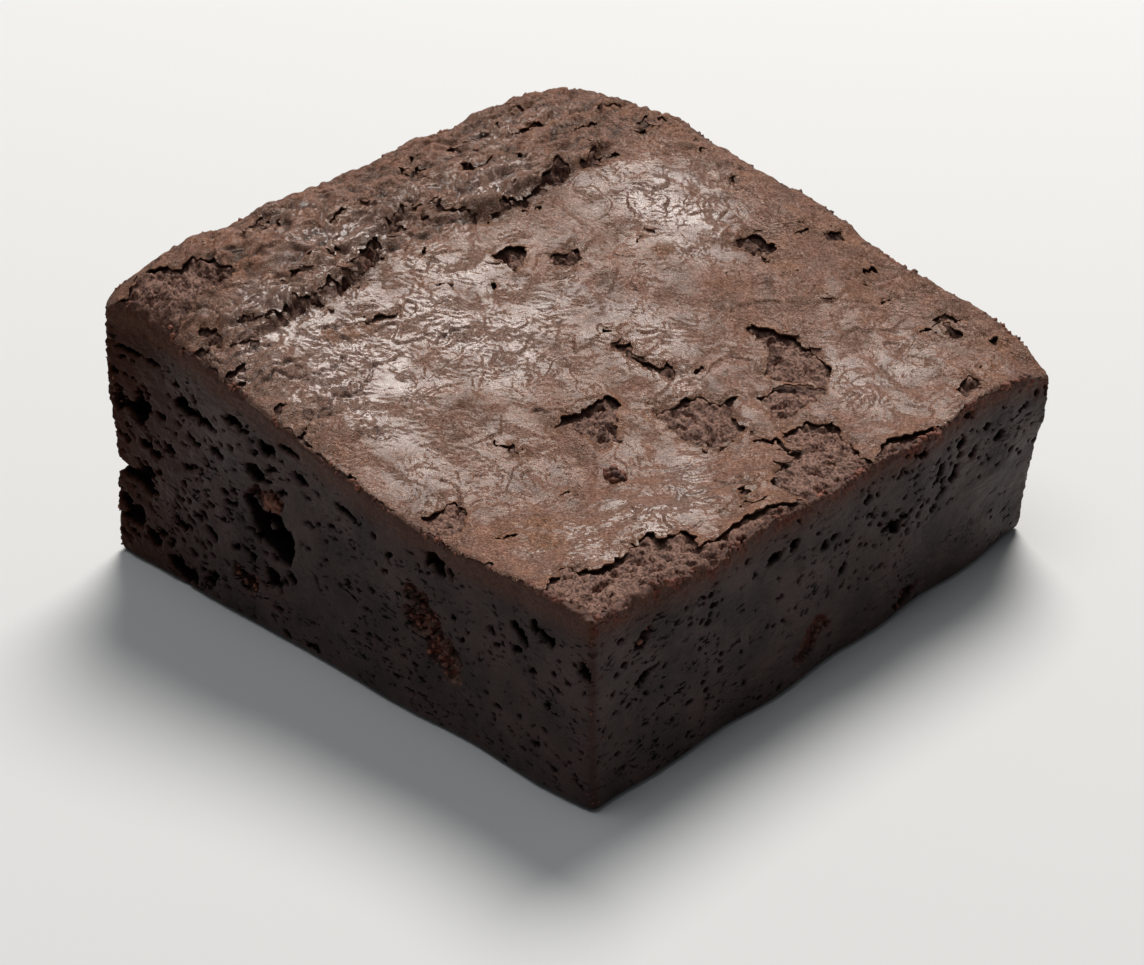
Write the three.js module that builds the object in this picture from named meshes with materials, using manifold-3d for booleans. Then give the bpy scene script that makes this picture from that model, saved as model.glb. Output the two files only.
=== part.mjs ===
// A chocolate brownie: one square, knife-cut from the edge of a tray bake, as a single solid.
// Millimetres, +Z up, standing on its flat base, with the origin at the middle of that base.
//
// The -X side comes from the rim of the tray, where the bake stands tall. From there the top falls
// in a soft S to the sunken middle of the tray, which is the thin +X side.

import * as THREE from "three";
import { mergeVertices } from "three/addons/utils/BufferGeometryUtils.js";
import Module from "manifold-3d";

const wasm = await Module();
wasm.setup();

// ---- Driving dimensions ----

const side = 75; // the square, across its cut faces
const half = side / 2;
const cornerRound = 1.8; // radius of the four upright edges
const bottomRound = 0.8; // how far the foot of each side tucks in

const lowTop = 23.1; // height of the top on the sunken +X side
const crest = 13.6; // how much higher the rim stands
const fall = {
  startNear: -35, // x where the rim starts to fall, on the -Y side
  endNear: 13, // and where that fall ends
  startFar: -19, // the same on the +Y side
  endFar: 39,
};
// Each side pulls the crest down near its cut: the share lost at the cut, and over what distance.
const edgeDroop = {
  near: { share: 0.31, reach: 4 },
  far: { share: 0.25, reach: 4 },
  back: { share: 0.12, reach: 3 },
};
// The cut ends stand up a little from the sunken middle.
const endLift = {
  near: { height: 0.9, reach: 8 },
  far: { height: 0.5, reach: 9 },
};
const cornerSlump = { x: half, y: half, drop: 2.3, reach: 3.2 }; // the thin far corner has crumbled
const lean = { frontFoot: -2.4, backFoot: 0.5, nearFoot: 0.6, farFoot: -0.6 }; // foot against top, outward
const wave = { depth: 0.35, length: 23 }; // slow unevenness of the cut faces and of the top

const patchDepth = 0.9; // how deep a bare patch lies under the papery crust
const roughness = { wide: 0.16, fine: 0.1 }; // how far a broken hollow strays from a plain oval, of its size
const gridAcross = 28; // facets along a side
const gridUp = 8; // and up a side
const patchCorners = 18; // corners of a patch's outline
const weldDistance = 1e-4; // corners closer than this are one

// ---- Details, each with its place on the slab ----

// Holes that the knife opened. "face" is the side it opens on, "along" runs with +X or +Y.
const pockets = [
  { name: "deep pocket", face: "near", along: -12.2, up: 14.2, wide: 2.2, tall: 5.4, deep: 5.5, turn: -28 },
  { name: "hole above it", face: "near", along: -14.2, up: 20.2, wide: 1.9, tall: 0.9, deep: 2.5, turn: -20 },
  { name: "hollow at the foot", face: "near", along: -27, up: 1.6, wide: 2.6, tall: 2, deep: 4, turn: 20 },
  { name: "long slot", face: "near", along: -23.4, up: 23.2, wide: 3.9, tall: 1, deep: 2.4, turn: -8 },
  { name: "corner hole", face: "near", along: -32.6, up: 20, wide: 1.5, tall: 1.6, deep: 3, turn: 30 },
  { name: "low corner hole", face: "near", along: -32.8, up: 10.4, wide: 1, tall: 1.9, deep: 2.5, turn: -20 },
  { name: "torn hollow", face: "near", along: 14.2, up: 12, wide: 2.4, tall: 3.9, deep: 3, turn: -38 },
  { name: "left twin", face: "near", along: 26.8, up: 16.9, wide: 1.1, tall: 2.3, deep: 2.6, turn: -38 },
  { name: "right twin", face: "near", along: 30.6, up: 18.2, wide: 1.9, tall: 1.1, deep: 2.6, turn: -30 },
  { name: "low torn holes", face: "near", along: -6.8, up: 1.9, wide: 2.8, tall: 1.3, deep: 2.4, turn: -12 },
  { name: "front hollow", face: "front", along: -3.4, up: 5.4, wide: 2.7, tall: 2.6, deep: 1.9, turn: 20 },
  { name: "front hole", face: "front", along: -6.6, up: 18.6, wide: 0.9, tall: 0.9, deep: 1.6, turn: 0 },
  { name: "far hollow", face: "far", along: 9, up: 13, wide: 3, tall: 2.2, deep: 3, turn: 25 },
  { name: "far slot", face: "far", along: -19, up: 20.5, wide: 3.4, tall: 1.1, deep: 2.2, turn: 8 },
  { name: "back hollow", face: "back", along: 12, up: 11, wide: 2.4, tall: 3.2, deep: 3.4, turn: 30 },
  { name: "back slot", face: "back", along: -14, up: 24, wide: 3.6, tall: 1, deep: 2.4, turn: -6 },
];

// Bits that broke away at the upright edges: a crevice around the tall corner, a bite at the thin one.
const bites = [
  { name: "corner crevice", x: -half, y: -half, up: 11.6, radii: [4.6, 4.6, 0.9] },
  { name: "crumbled foot", x: half + 0.6, y: half + 0.4, up: 0.8, radii: [3.4, 4.6, 3] },
];

// Bare patches, where the crust flaked off. "long" runs along "turn", in degrees from +X.
const patches = [
  { name: "arrow patch", x: 11.8, y: -10.6, long: 4.6, wide: 2.4, turn: 62 },
  { name: "middle patch", x: 18.4, y: -1.2, long: 4.6, wide: 3, turn: 52 },
  { name: "upper patch", x: 16.8, y: 15.2, long: 5.6, wide: 1.7, turn: 20 },
  { name: "small patch", x: 23, y: 9, long: 3.6, wide: 1.7, turn: 50 },
  { name: "edge patch", x: 31.6, y: 4.2, long: 4.9, wide: 3, turn: 60 },
  { name: "front corner patch", x: 33, y: -26, long: 9.6, wide: 2.5, turn: 82 },
  { name: "round patch", x: 3.8, y: 24.4, long: 2.6, wide: 2, turn: 20 },
  { name: "tall corner patch", x: -31.4, y: -32, long: 3.8, wide: 2.8, turn: 20 },
];

// The long rupture, where the sunken middle tore off the rim: its route over the top.
const rupture = {
  radius: 1.25,
  sink: 0.2, // its centre line under the top
  route: [
    [-20.4, -31],
    [-18.6, -24],
    [-16.6, -17],
    [-20.6, -10],
    [-19, -2],
    [-17.6, 5],
    [-19, 14],
    [-19.6, 22],
  ],
};

// ---- Form ----

const clamp01 = (t) => Math.min(1, Math.max(0, t));
const mix = (a, b, t) => a + (b - a) * t;
const nearness = (distance, { share, reach }) => 1 - share * Math.exp(-distance / reach);
const rise = (distance, { height, reach }) => height * Math.exp(-distance / reach);

// Slow lumps between -1 and 1: two slanting waves, one of them bent.
function lump(x, y) {
  const u = (x * 2 * Math.PI) / wave.length;
  const v = (y * 2 * Math.PI) / wave.length;
  return (Math.sin(u + 1.3 * Math.sin(0.7 * v)) + Math.sin(1.3 * v + 0.9 * u + 2)) / 2;
}

// Height of the baked top over a point of the base.
function topHeight(x, y) {
  const across = clamp01(y / side + 0.5);
  const start = mix(fall.startNear, fall.startFar, across);
  const end = mix(fall.endNear, fall.endFar, across);
  const t = clamp01((x - start) / (end - start));
  const fallen = (t + t * t * (3 - 2 * t)) / 2; // half straight, half S
  const near = nearness(half + y, edgeDroop.near);
  const far = nearness(half - y, edgeDroop.far);
  const back = nearness(half + x, edgeDroop.back);
  const toSlump = Math.hypot(x - cornerSlump.x, y - cornerSlump.y);
  const slump = cornerSlump.drop * Math.exp(-((toSlump / cornerSlump.reach) ** 2));
  const lift = rise(half + y, endLift.near) + rise(half - y, endLift.far);
  return lowTop + lift + crest * (1 - fallen) * near * far * back - slump + wave.depth * lump(x, y);
}

// Moves a point of a plain box, x and y in mm and up from 0 to 1, to its place on the slab.
function place(x, y, up) {
  const foot = 1 - up;
  const tuck = up === 0 ? bottomRound : 0;
  const front = lean.frontFoot * clamp01(y / side + 0.5) ** 2 * foot - tuck;
  const back = lean.backFoot * foot - tuck;
  const near = lean.nearFoot * clamp01(0.5 - x / side) * foot - tuck;
  const far = lean.farFoot * foot - tuck;
  const ripple = wave.depth * lump(x + lowTop * up, y - lowTop * up);
  // A square with round upright edges.
  const flat = half - cornerRound;
  const over = [Math.max(Math.abs(x) - flat, 0), Math.max(Math.abs(y) - flat, 0)];
  const shrink = Math.min(1, cornerRound / (Math.hypot(...over) || 1));
  const px = Math.sign(x) * (Math.min(Math.abs(x), flat) + over[0] * shrink);
  const py = Math.sign(y) * (Math.min(Math.abs(y), flat) + over[1] * shrink);
  const outX = (x > 0 ? front : back) + ripple;
  const outY = (y > 0 ? far : near) + ripple;
  return [px + outX * (px / half), py + outY * (py / half), up * topHeight(x, y)];
}

function slabGeometry() {
  const box = new THREE.BoxGeometry(side, side, 1, gridAcross, gridAcross, gridUp);
  const at = box.getAttribute("position");
  for (let i = 0; i < at.count; i++) at.setXYZ(i, ...place(at.getX(i), at.getY(i), at.getZ(i) + 0.5));
  return box;
}

// A rough ball, for what broke or blew out of the bake.
function roughBall(radii, seed) {
  const ball = new THREE.IcosahedronGeometry(1, 2);
  const at = ball.getAttribute("position");
  const p = new THREE.Vector3();
  for (let i = 0; i < at.count; i++) {
    p.fromBufferAttribute(at, i);
    const wide = roughness.wide * Math.sin(5 * p.x + seed) * Math.cos(4 * p.y - seed);
    const fine = roughness.fine * Math.sin(7 * p.z + 2 * seed);
    p.multiplyScalar(1 + wide + fine);
    at.setXYZ(i, p.x * radii[0], p.y * radii[1], p.z * radii[2]);
  }
  return ball;
}

// ---- Cutting, with manifold-3d ----

function toSolid(geometry) {
  const bare = geometry.clone();
  for (const name of Object.keys(bare.attributes)) if (name !== "position") bare.deleteAttribute(name);
  const merged = mergeVertices(bare, weldDistance);
  const mesh = new wasm.Mesh({
    numProp: 3,
    vertProperties: merged.getAttribute("position").array,
    triVerts: new Uint32Array(merged.index.array),
  });
  return new wasm.Manifold(mesh);
}

function toGeometry(solid) {
  const { vertProperties, triVerts } = solid.getMesh();
  const geometry = new THREE.BufferGeometry();
  geometry.setAttribute("position", new THREE.BufferAttribute(vertProperties, 3));
  geometry.setIndex(new THREE.BufferAttribute(triVerts, 1));
  geometry.computeVertexNormals();
  return geometry;
}

// Where each side faces, as the turn about Z that carries the near side there.
const faceTurn = { near: 0, front: Math.PI / 2, far: Math.PI, back: -Math.PI / 2 };
const runsBackwards = new Set(["far", "back"]); // seen from outside, +X or +Y runs to the left there

function pocketCutter(pocket, index) {
  const along = runsBackwards.has(pocket.face) ? -pocket.along : pocket.along;
  const ball = roughBall([pocket.wide, pocket.deep, pocket.tall], index);
  ball.rotateY(THREE.MathUtils.degToRad(-pocket.turn));
  ball.translate(along, -half, pocket.up);
  return toSolid(ball.rotateZ(faceTurn[pocket.face]));
}

function biteCutter(bite, index) {
  return toSolid(roughBall(bite.radii, 20 + index).translate(bite.x, bite.y, bite.up));
}

// A lumpy oval, pushed down into the top and tilted with it.
function patchCutter(patch, index) {
  const outline = new THREE.Shape();
  for (let i = 0; i < patchCorners; i++) {
    const a = (i / patchCorners) * 2 * Math.PI;
    const rough = 1 + roughness.wide * Math.sin(3 * a + index) + roughness.fine * Math.sin(5 * a + 2 * index);
    outline[i ? "lineTo" : "moveTo"](patch.long * rough * Math.cos(a), patch.wide * rough * Math.sin(a));
  }
  const step = 1;
  const slopeX = (topHeight(patch.x + step, patch.y) - topHeight(patch.x - step, patch.y)) / (2 * step);
  const slopeY = (topHeight(patch.x, patch.y + step) - topHeight(patch.x, patch.y - step)) / (2 * step);
  const up = new THREE.Vector3(-slopeX, -slopeY, 1).normalize();
  const block = new THREE.ExtrudeGeometry(outline, { depth: patchDepth * 4, bevelEnabled: false });
  block.translate(0, 0, -patchDepth).rotateZ(THREE.MathUtils.degToRad(patch.turn));
  block.applyQuaternion(new THREE.Quaternion().setFromUnitVectors(new THREE.Vector3(0, 0, 1), up));
  return toSolid(block.translate(patch.x, patch.y, topHeight(patch.x, patch.y)));
}

function ruptureCutter() {
  const points = rupture.route.map(([x, y]) => new THREE.Vector3(x, y, topHeight(x, y) - rupture.sink));
  const section = new THREE.Shape().absarc(0, 0, rupture.radius, 0, 2 * Math.PI);
  return toSolid(
    new THREE.ExtrudeGeometry(section, {
      steps: 28,
      curveSegments: 6,
      bevelEnabled: false,
      extrudePath: new THREE.CatmullRomCurve3(points),
    }),
  );
}

function brownieGeometry() {
  let solid = toSolid(slabGeometry());
  const cutters = [
    ...pockets.map(pocketCutter),
    ...bites.map(biteCutter),
    ...patches.map(patchCutter),
    ruptureCutter(),
  ];
  for (const cutter of cutters) solid = solid.subtract(cutter);
  const geometry = toGeometry(solid);
  // The origin goes to the middle of the base of the finished slab.
  geometry.computeBoundingBox();
  const { min, max } = geometry.boundingBox;
  return geometry.translate(-(min.x + max.x) / 2, -(min.y + max.y) / 2, -min.z);
}

// ---- Material and scene ----

const bakedChocolate = new THREE.MeshStandardMaterial({ color: 0x3a2620, roughness: 0.62, metalness: 0 });

const brownie = new THREE.Mesh(brownieGeometry(), bakedChocolate);
brownie.name = "brownie";

const part = new THREE.Group();
part.add(brownie);

export default part;
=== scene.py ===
# A square of chocolate brownie: dense knife-cut crumb under a papery, crackled skin.
# The crumb is one closed mesh with real pores. The skin is three thin closed plates that meet along
# its cracks, with ragged holes where it flaked off. Lengths are millimetres until a mesh is finished.

import math

import bmesh
import bpy
import numpy as np
from mathutils import Euler, Matrix, Vector


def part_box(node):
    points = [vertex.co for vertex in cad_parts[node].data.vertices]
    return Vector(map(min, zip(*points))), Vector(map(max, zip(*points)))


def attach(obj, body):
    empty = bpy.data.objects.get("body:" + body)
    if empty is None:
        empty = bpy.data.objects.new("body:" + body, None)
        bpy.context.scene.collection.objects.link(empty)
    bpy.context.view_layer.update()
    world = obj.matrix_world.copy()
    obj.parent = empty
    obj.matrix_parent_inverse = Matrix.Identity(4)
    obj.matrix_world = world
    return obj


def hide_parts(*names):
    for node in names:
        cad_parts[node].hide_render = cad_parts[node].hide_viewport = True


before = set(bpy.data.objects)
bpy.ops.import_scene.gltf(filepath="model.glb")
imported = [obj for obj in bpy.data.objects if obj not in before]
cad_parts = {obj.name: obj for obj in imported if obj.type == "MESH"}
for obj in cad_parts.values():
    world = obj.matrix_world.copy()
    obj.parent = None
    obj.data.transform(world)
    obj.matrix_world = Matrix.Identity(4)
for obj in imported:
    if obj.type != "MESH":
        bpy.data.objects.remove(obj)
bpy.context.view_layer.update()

metre = 0.001  # a millimetre in Blender's units
boxLow, boxHigh = (np.array(corner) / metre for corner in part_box("brownie"))
boxSize = boxHigh - boxLow


# Noise. A gradient at each point of a lattice, picked from one seeded table of directions.
noiseAngles = np.random.default_rng(11).uniform(0, 2 * math.pi, (256, 256))
noiseX, noiseY = np.cos(noiseAngles), np.sin(noiseAngles)


def ease(t):
    return t * t * t * (t * (6 * t - 15) + 10)


def smooth(t):
    t = np.clip(t, 0, 1)
    return t * t * (3 - 2 * t)


def noise(x, y, size, seed=0):
    # soft lumps about size across, from -1 to 1
    u = np.asarray(x) / size + 31.7 * seed
    v = np.asarray(y) / size - 17.9 * seed
    i, j = np.floor(u).astype(int), np.floor(v).astype(int)
    fu, fv = u - i, v - j

    def corner(di, dj):
        a, b = (i + di) & 255, (j + dj) & 255
        return noiseX[a, b] * (fu - di) + noiseY[a, b] * (fv - dj)

    su, sv = ease(fu), ease(fv)
    low = corner(0, 0) * (1 - su) + corner(1, 0) * su
    high = corner(0, 1) * (1 - su) + corner(1, 1) * su
    return 1.5 * (low * (1 - sv) + high * sv)


def layered(x, y, size, seed=0, layers=3):
    # noise with finer noise on it
    total = 0
    for k in range(layers):
        total = total + noise(x, y, size / 2**k, seed + k) / 2**k
    return total


def mixed(x, y, *parts):
    # several noises together: how much of each, its size and its seed
    return sum(amount * noise(x, y, size, seed) for amount, size, seed in parts)


def creases(x, y, size, seed=0):
    # sharp folds with soft valleys, from 0 to 1
    return 1 - np.abs(noise(x, y, size, seed))


def clods(x, y, size, seed=0, rugged=0.55):
    # round clods with sharp clefts between them, from 0 to about 1.4
    large, middle = np.abs(noise(x, y, size, seed)), np.abs(noise(x, y, size * 0.52, seed + 1))
    return large + rugged * middle + rugged**2 * np.abs(noise(x, y, size * 0.27, seed + 2))


# The slab's form, the same as the solid's: tall at the tray's rim (-X), fallen towards +X.
slab = {
    "half": (boxSize[0] - 1.1) / 2,  # the cut faces stray about half a millimetre beyond it
    "cornerRound": 0.8,
    "topRound": 0.6,
    "bottomRound": 0.7,
    "lowTop": 0.626 * boxSize[2],
    "crest": 0.369 * boxSize[2],
    "fallNear": (-35, 13),  # x where the top starts and ends its fall, on the -Y side
    "fallFar": (-19, 39),  # and on the +Y side
    "droopNear": (0.31, 4),  # share of the crest lost at that cut, and its reach
    "droopFar": (0.25, 4),
    "droopBack": (0.12, 3),
    "liftNear": (0.9, 8),  # how far the cut end stands up, and its reach
    "liftFar": (0.5, 9),
    "slump": (2.3, 3.2),  # the crumbled thin corner at +X +Y
    "leanFront": -2.4,  # how far each foot stands out from its top edge
    "leanBack": 0.5,
    "leanNear": 0.6,
    "leanFar": -0.6,
    "waveDepth": 0.35,
    "waveLength": 23,
}


def lump(x, y):
    u = x * 2 * math.pi / slab["waveLength"]
    v = y * 2 * math.pi / slab["waveLength"]
    return (np.sin(u + 1.3 * np.sin(0.7 * v)) + np.sin(1.3 * v + 0.9 * u + 2)) / 2


def topHeight(x, y):
    half = slab["half"]
    across = np.clip(y / (2 * half) + 0.5, 0, 1)
    start = slab["fallNear"][0] * (1 - across) + slab["fallFar"][0] * across
    end = slab["fallNear"][1] * (1 - across) + slab["fallFar"][1] * across
    t = np.clip((x - start) / (end - start), 0, 1)
    fallen = (t + t * t * (3 - 2 * t)) / 2
    crest = slab["crest"] * (1 - fallen)
    for key, distance in (("droopNear", half + y), ("droopFar", half - y), ("droopBack", half + x)):
        crest = crest * (1 - slab[key][0] * np.exp(-distance / slab[key][1]))
    lift = slab["liftNear"][0] * np.exp(-(half + y) / slab["liftNear"][1])
    lift = lift + slab["liftFar"][0] * np.exp(-(half - y) / slab["liftFar"][1])
    slump = slab["slump"][0] * np.exp(-((np.hypot(x - half, y - half) / slab["slump"][1]) ** 2))
    return slab["lowTop"] + lift + crest - slump + slab["waveDepth"] * lump(x, y)


def cornerOver(x, y):
    # how far a point reaches past the straight part of the sides, towards each
    flat = slab["half"] - slab["cornerRound"]
    return np.maximum(np.abs(x) - flat, 0), np.maximum(np.abs(y) - flat, 0)


def edgeDistance(x, y):
    # from the nearest cut face, inwards
    flat = slab["half"] - slab["cornerRound"]
    overX, overY = cornerOver(x, y)
    inside = np.minimum(np.maximum(np.abs(x) - flat, np.abs(y) - flat), 0)
    return slab["cornerRound"] - np.hypot(overX, overY) - inside


def place(x, y, up):
    # a point of the plain square at a share of the height, on the leaning, wavy slab
    half, flat = slab["half"], slab["half"] - slab["cornerRound"]
    foot = 1 - up
    across = np.clip(y / (2 * half) + 0.5, 0, 1)
    tuck = slab["bottomRound"] * np.clip(1 - up * 30, 0, 1) ** 2
    outX = np.where(x > 0, slab["leanFront"] * across**2, slab["leanBack"]) * foot - tuck
    rimward = np.clip(0.5 - x / (2 * half), 0, 1)
    outY = np.where(y > 0, slab["leanFar"], slab["leanNear"] * rimward) * foot - tuck
    ripple = slab["waveDepth"] * lump(x + slab["lowTop"] * up, y - slab["lowTop"] * up)
    overX, overY = cornerOver(x, y)
    shrink = np.minimum(1, slab["cornerRound"] / np.maximum(np.hypot(overX, overY), 1e-9))
    px = np.sign(x) * (np.minimum(np.abs(x), flat) + overX * shrink)
    py = np.sign(y) * (np.minimum(np.abs(y), flat) + overY * shrink)
    return px + (outX + ripple) * px / half, py + (outY + ripple) * py / half


def edgeDrop(distance):
    # how far the rounded top edge lies under the top, at a distance from the cut face
    r = slab["topRound"]
    return r - np.sqrt(np.maximum(r * r - np.maximum(r - distance, 0) ** 2, 0))


# Where the skin is missing: the outlines of the larger bare places, which noise then makes ragged.
bareOutlines = {
    "arch": [(11.5, -35.5), (11, -31.5), (13, -31.5), (16, -34.5), (15, -37)],
    "arrow": [(9.5, -14.5), (10.5, -6.5), (12, -6.5), (15, -10.5), (15, -12.5), (11.5, -13)],
    "middle": [(14.5, -4), (16, 2), (18.5, 2.5), (19, 5), (20.5, 2), (23, 1.5), (23, -3.5), (18.5, -5)],
    "slit": [(5.5, -0.5), (6, 1.5), (7.5, 0), (10.5, 2), (10.5, 3), (12, 2.5), (12.5, 1.5), (9, -0.5)],
    "upper": [(11.5, 14.5), (15.5, 17), (19.5, 17.5), (23, 16), (24, 13.5), (20, 10.5), (18, 10), (17, 12.5),
              (13, 13.5)],
    "small": [(20.5, 6.5), (20.5, 10), (24.5, 13.5), (25, 6.5), (24, 5)],
    "wide": [(30, 1), (28.5, 4), (26.5, 3), (26, 5), (27, 8.5), (29, 9.5), (35.5, 6.5), (39, 6.5), (39, -4.5),
             (32.5, -5), (31, -2)],
    "edgeBite": [(37, 7), (35, 11), (37, 17), (39, 17.5), (39, 6.5)],
    "frontCorner": [(29, -34.5), (28, -31), (30, -30.5), (30.5, -28.5), (29.5, -21), (31.5, -21), (31.5, -18),
                    (33, -17.5), (34.5, -19), (34.5, -11.5), (36.5, -5), (39, -5), (39, -39), (31, -39)],
    "farNick": [(34, 24.5), (33.5, 27.5), (35, 28), (36.5, 26), (36, 23.5)],
    "farPit": [(24.5, 31.5), (25, 34), (27, 35), (26, 32.5)],
    "leftPit": [(-13, -1.5), (-12.5, 1.5), (-11, 2.5), (-10, 1.5), (-9, -1), (-11.5, -2)],
    "rightPit": [(-8.5, 4), (-8, 7.5), (-6.5, 6.5), (-5.5, 5), (-7, 3)],
    "tallCorner": [(-36.5, -33.5), (-34.5, -31.5), (-33, -31), (-32, -26.5), (-29, -26), (-27, -27.5),
                   (-27.5, -32.5), (-25, -39), (-35, -39), (-35, -36)],
}
# The small ones are ovals: x, y, long and wide radius, turn in degrees from +X.
bareOvals = [
    (3.8, 24.6, 2.5, 1.9, 30),
    (20.1, -31.2, 1.0, 0.65, 66),
    (-8.4, -5.0, 0.7, 0.5, 0),
    (8.9, -20.6, 1.3, 0.35, 30),
    (-22.1, -34.8, 1.5, 0.8, 20),
    (-16.7, -35.6, 1.0, 0.55, 80),
    (-21.4, -37.2, 0.9, 0.7, 0),
    (-15.8, -37.2, 1.1, 0.8, 20),
    (-10.1, -36.6, 0.9, 0.5, 20),
    (-18.6, -32.6, 0.8, 0.3, 30),
    (-5.5, -37.3, 0.9, 0.5, 0),
    (2.0, -37.3, 1.1, 0.5, 0),
    (22.5, -37.3, 1.2, 0.6, 0),
    (-12.6, -18.6, 1.6, 0.6, 75),
    (27.8, 1.7, 2.2, 0.35, 5),
    (27.4, 31.7, 1.1, 0.6, 40),
    (33.6, -8.4, 1.6, 0.4, 60),
]
# Where the crumb itself is torn out deeper, in the same way.
deepOvals = [
    (-12.0, 0.2, 1.9, 0.9, 40),
    (-7.4, 5.2, 1.5, 1.1, 20),
    (3.8, 24.6, 2.3, 1.7, 30),
    (-29.3, -27.7, 2.4, 1.5, 30),
    (-26.6, -34.4, 1.3, 0.6, 40),
    (-22.1, -34.8, 1.3, 0.7, 20),
    (-16.7, -35.6, 0.8, 0.45, 80),
    (10.9, 1.6, 1.6, 0.6, 30),
    (6.3, 0.6, 0.8, 0.6, 60),
    (-12.6, -18.6, 1.4, 0.5, 75),
    (-8.4, -5.0, 0.7, 0.5, 0),
    (35.0, 26.0, 1.6, 1.0, 70),
    (25.5, 33.4, 1.5, 0.7, 60),
    (19.6, 3.1, 2.6, 0.9, -18),
    (10.4, -9.6, 2.8, 0.7, 80),
    (13.4, 14.6, 2.0, 0.5, 25),
    (28.2, 8.4, 1.8, 0.7, 35),
    (20.1, -31.2, 0.9, 0.6, 66),
]
# Thicker, browner skin: x, y, radius, how brown.
stains = [
    (19.5, -15.2, 0.9, 0.8),
    (20.4, -27.2, 1.5, 0.9),
    (22.8, -29.2, 1.7, 0.9),
    (-1.8, 15.2, 1.1, 0.8),
    (-13.6, -25.0, 0.9, 0.8),
    (-12.9, -22.6, 0.9, 0.9),
    (-12.4, -20.6, 0.8, 0.8),
]
# Slots in the lumpy skin by the rim, which follow it: x, y, half length.
slotWidth, slotTurn = 0.42, 84  # half width, degrees from +X
rimSlots = [
    (-28.5, -10.5, 2.4),
    (-23.4, -4.0, 2.2),
    (-30.5, 3.5, 1.6),
    (-26.2, 10.0, 3.0),
    (-31.8, 13.5, 2.0),
    (-28.6, 20.0, 3.1),
    (-33.2, 23.5, 1.8),
    (-24.0, 26.0, 1.5),
    (-18.8, 29.5, 1.0),
    (-26.5, 32.5, 2.4),
    (-12.5, 33.2, 1.4),
    (-5.5, 31.6, 1.3),
    (8.2, 33.4, 1.2),
    (-32.8, -17.5, 1.5),
    (-23.8, -21.5, 1.0),
]
# The rupture where the middle sank away from the rim: stretches of torn crumb and their half width.
rupture = [
    (0.5, [(-21.2, -31.0), (-19.4, -28.9)]),
    (0.85, [(-19.0, -28.2), (-18.6, -24.4), (-18.9, -18.6)]),
    (1.1, [(-19.2, -17.0), (-19.8, -14.0), (-21.6, -10.6)]),
    (0.75, [(-22.2, -8.4), (-24.0, -4.6)]),
    (0.55, [(-22.6, -1.4), (-18.9, 1.6)]),
    (0.75, [(-17.2, 3.8), (-17.2, 8.0)]),
    (1.0, [(-17.4, 8.6), (-17.8, 12.4), (-18.2, 15.8)]),
    (0.45, [(-17.8, 18.4), (-17.3, 23.0)]),
]
# Hairline cracks in the skin.
cracks = [
    [(-13.9, -36.6), (-13.5, -33.9), (-11.3, -31.6), (-10.1, -28.3), (-10.7, -25.6)],
    [(-6.4, -36.6), (-7.1, -34.6), (-6.6, -32.6), (-7.5, -30.8), (-6.4, -28.4), (-6.9, -26.0), (-8.3, -23.6)],
    [(7.9, -29.9), (9.7, -29.3), (11.8, -30.6), (12.6, -32.0)],
    [(-8.2, -16.6), (-6.6, -14.4), (-5.8, -11.6)],
    [(-15.1, -25.5), (-13.9, -22.4), (-13.0, -19.8)],
    [(-16.4, -36.2), (-14.8, -35.4), (-14.4, -33.2), (-13.2, -30.5)],
    [(-20.8, -36.4), (-18.6, -36.1), (-18.0, -34.9), (-17.8, -33.3), (-16.8, -31.3)],
    [(-26.0, -32.5), (-23.3, -31.9), (-20.7, -30.7)],
    [(6.6, -14.9), (8.4, -12.6), (9.3, -11.8)],
]


def scatterSpecks():
    # pinholes and chips no wider than a millimetre, most of them near the rim and the far cut
    draws = np.random.default_rng(17)
    found = []
    while len(found) < 62:
        x, y = draws.uniform(-35, 35, 2)
        if draws.random() < 0.12 + 0.9 * max(smooth((-16 - x) / 5), smooth((y - 24) / 8)):
            long = 0.28 * math.exp(draws.normal(0, 0.4))
            found.append((x, y, long * draws.uniform(1, 2.4), long, draws.uniform(20, 110)))
    return found


specks = scatterSpecks()


def toLine(x, y, points):
    # distance from a line of straight stretches
    nearest = np.full(np.shape(x), 1e9)
    for (ax, ay), (bx, by) in zip(points, points[1:]):
        dx, dy = bx - ax, by - ay
        t = np.clip(((x - ax) * dx + (y - ay) * dy) / (dx * dx + dy * dy), 0, 1)
        nearest = np.minimum(nearest, np.hypot(x - ax - t * dx, y - ay - t * dy))
    return nearest


def ovalEdge(x, y, oval):
    # about the distance outwards from an oval's outline
    ox, oy, long, wide, turn = oval
    c, s = math.cos(math.radians(turn)), math.sin(math.radians(turn))
    u = ((x - ox) * c + (y - oy) * s) / long
    v = (-(x - ox) * s + (y - oy) * c) / wide
    return (np.hypot(u, v) - 1) * min(long, wide)


def outlineEdge(x, y, points):
    # distance outwards from a closed outline
    closed = points + points[:1]
    inside = np.zeros(np.shape(x), bool)
    for (ax, ay), (bx, by) in zip(closed, closed[1:]):
        if ay != by:
            inside ^= ((ay > y) != (by > y)) & (x < ax + (y - ay) * (bx - ax) / (by - ay))
    away = toLine(x, y, closed)
    return np.where(inside, -away, away)


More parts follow.
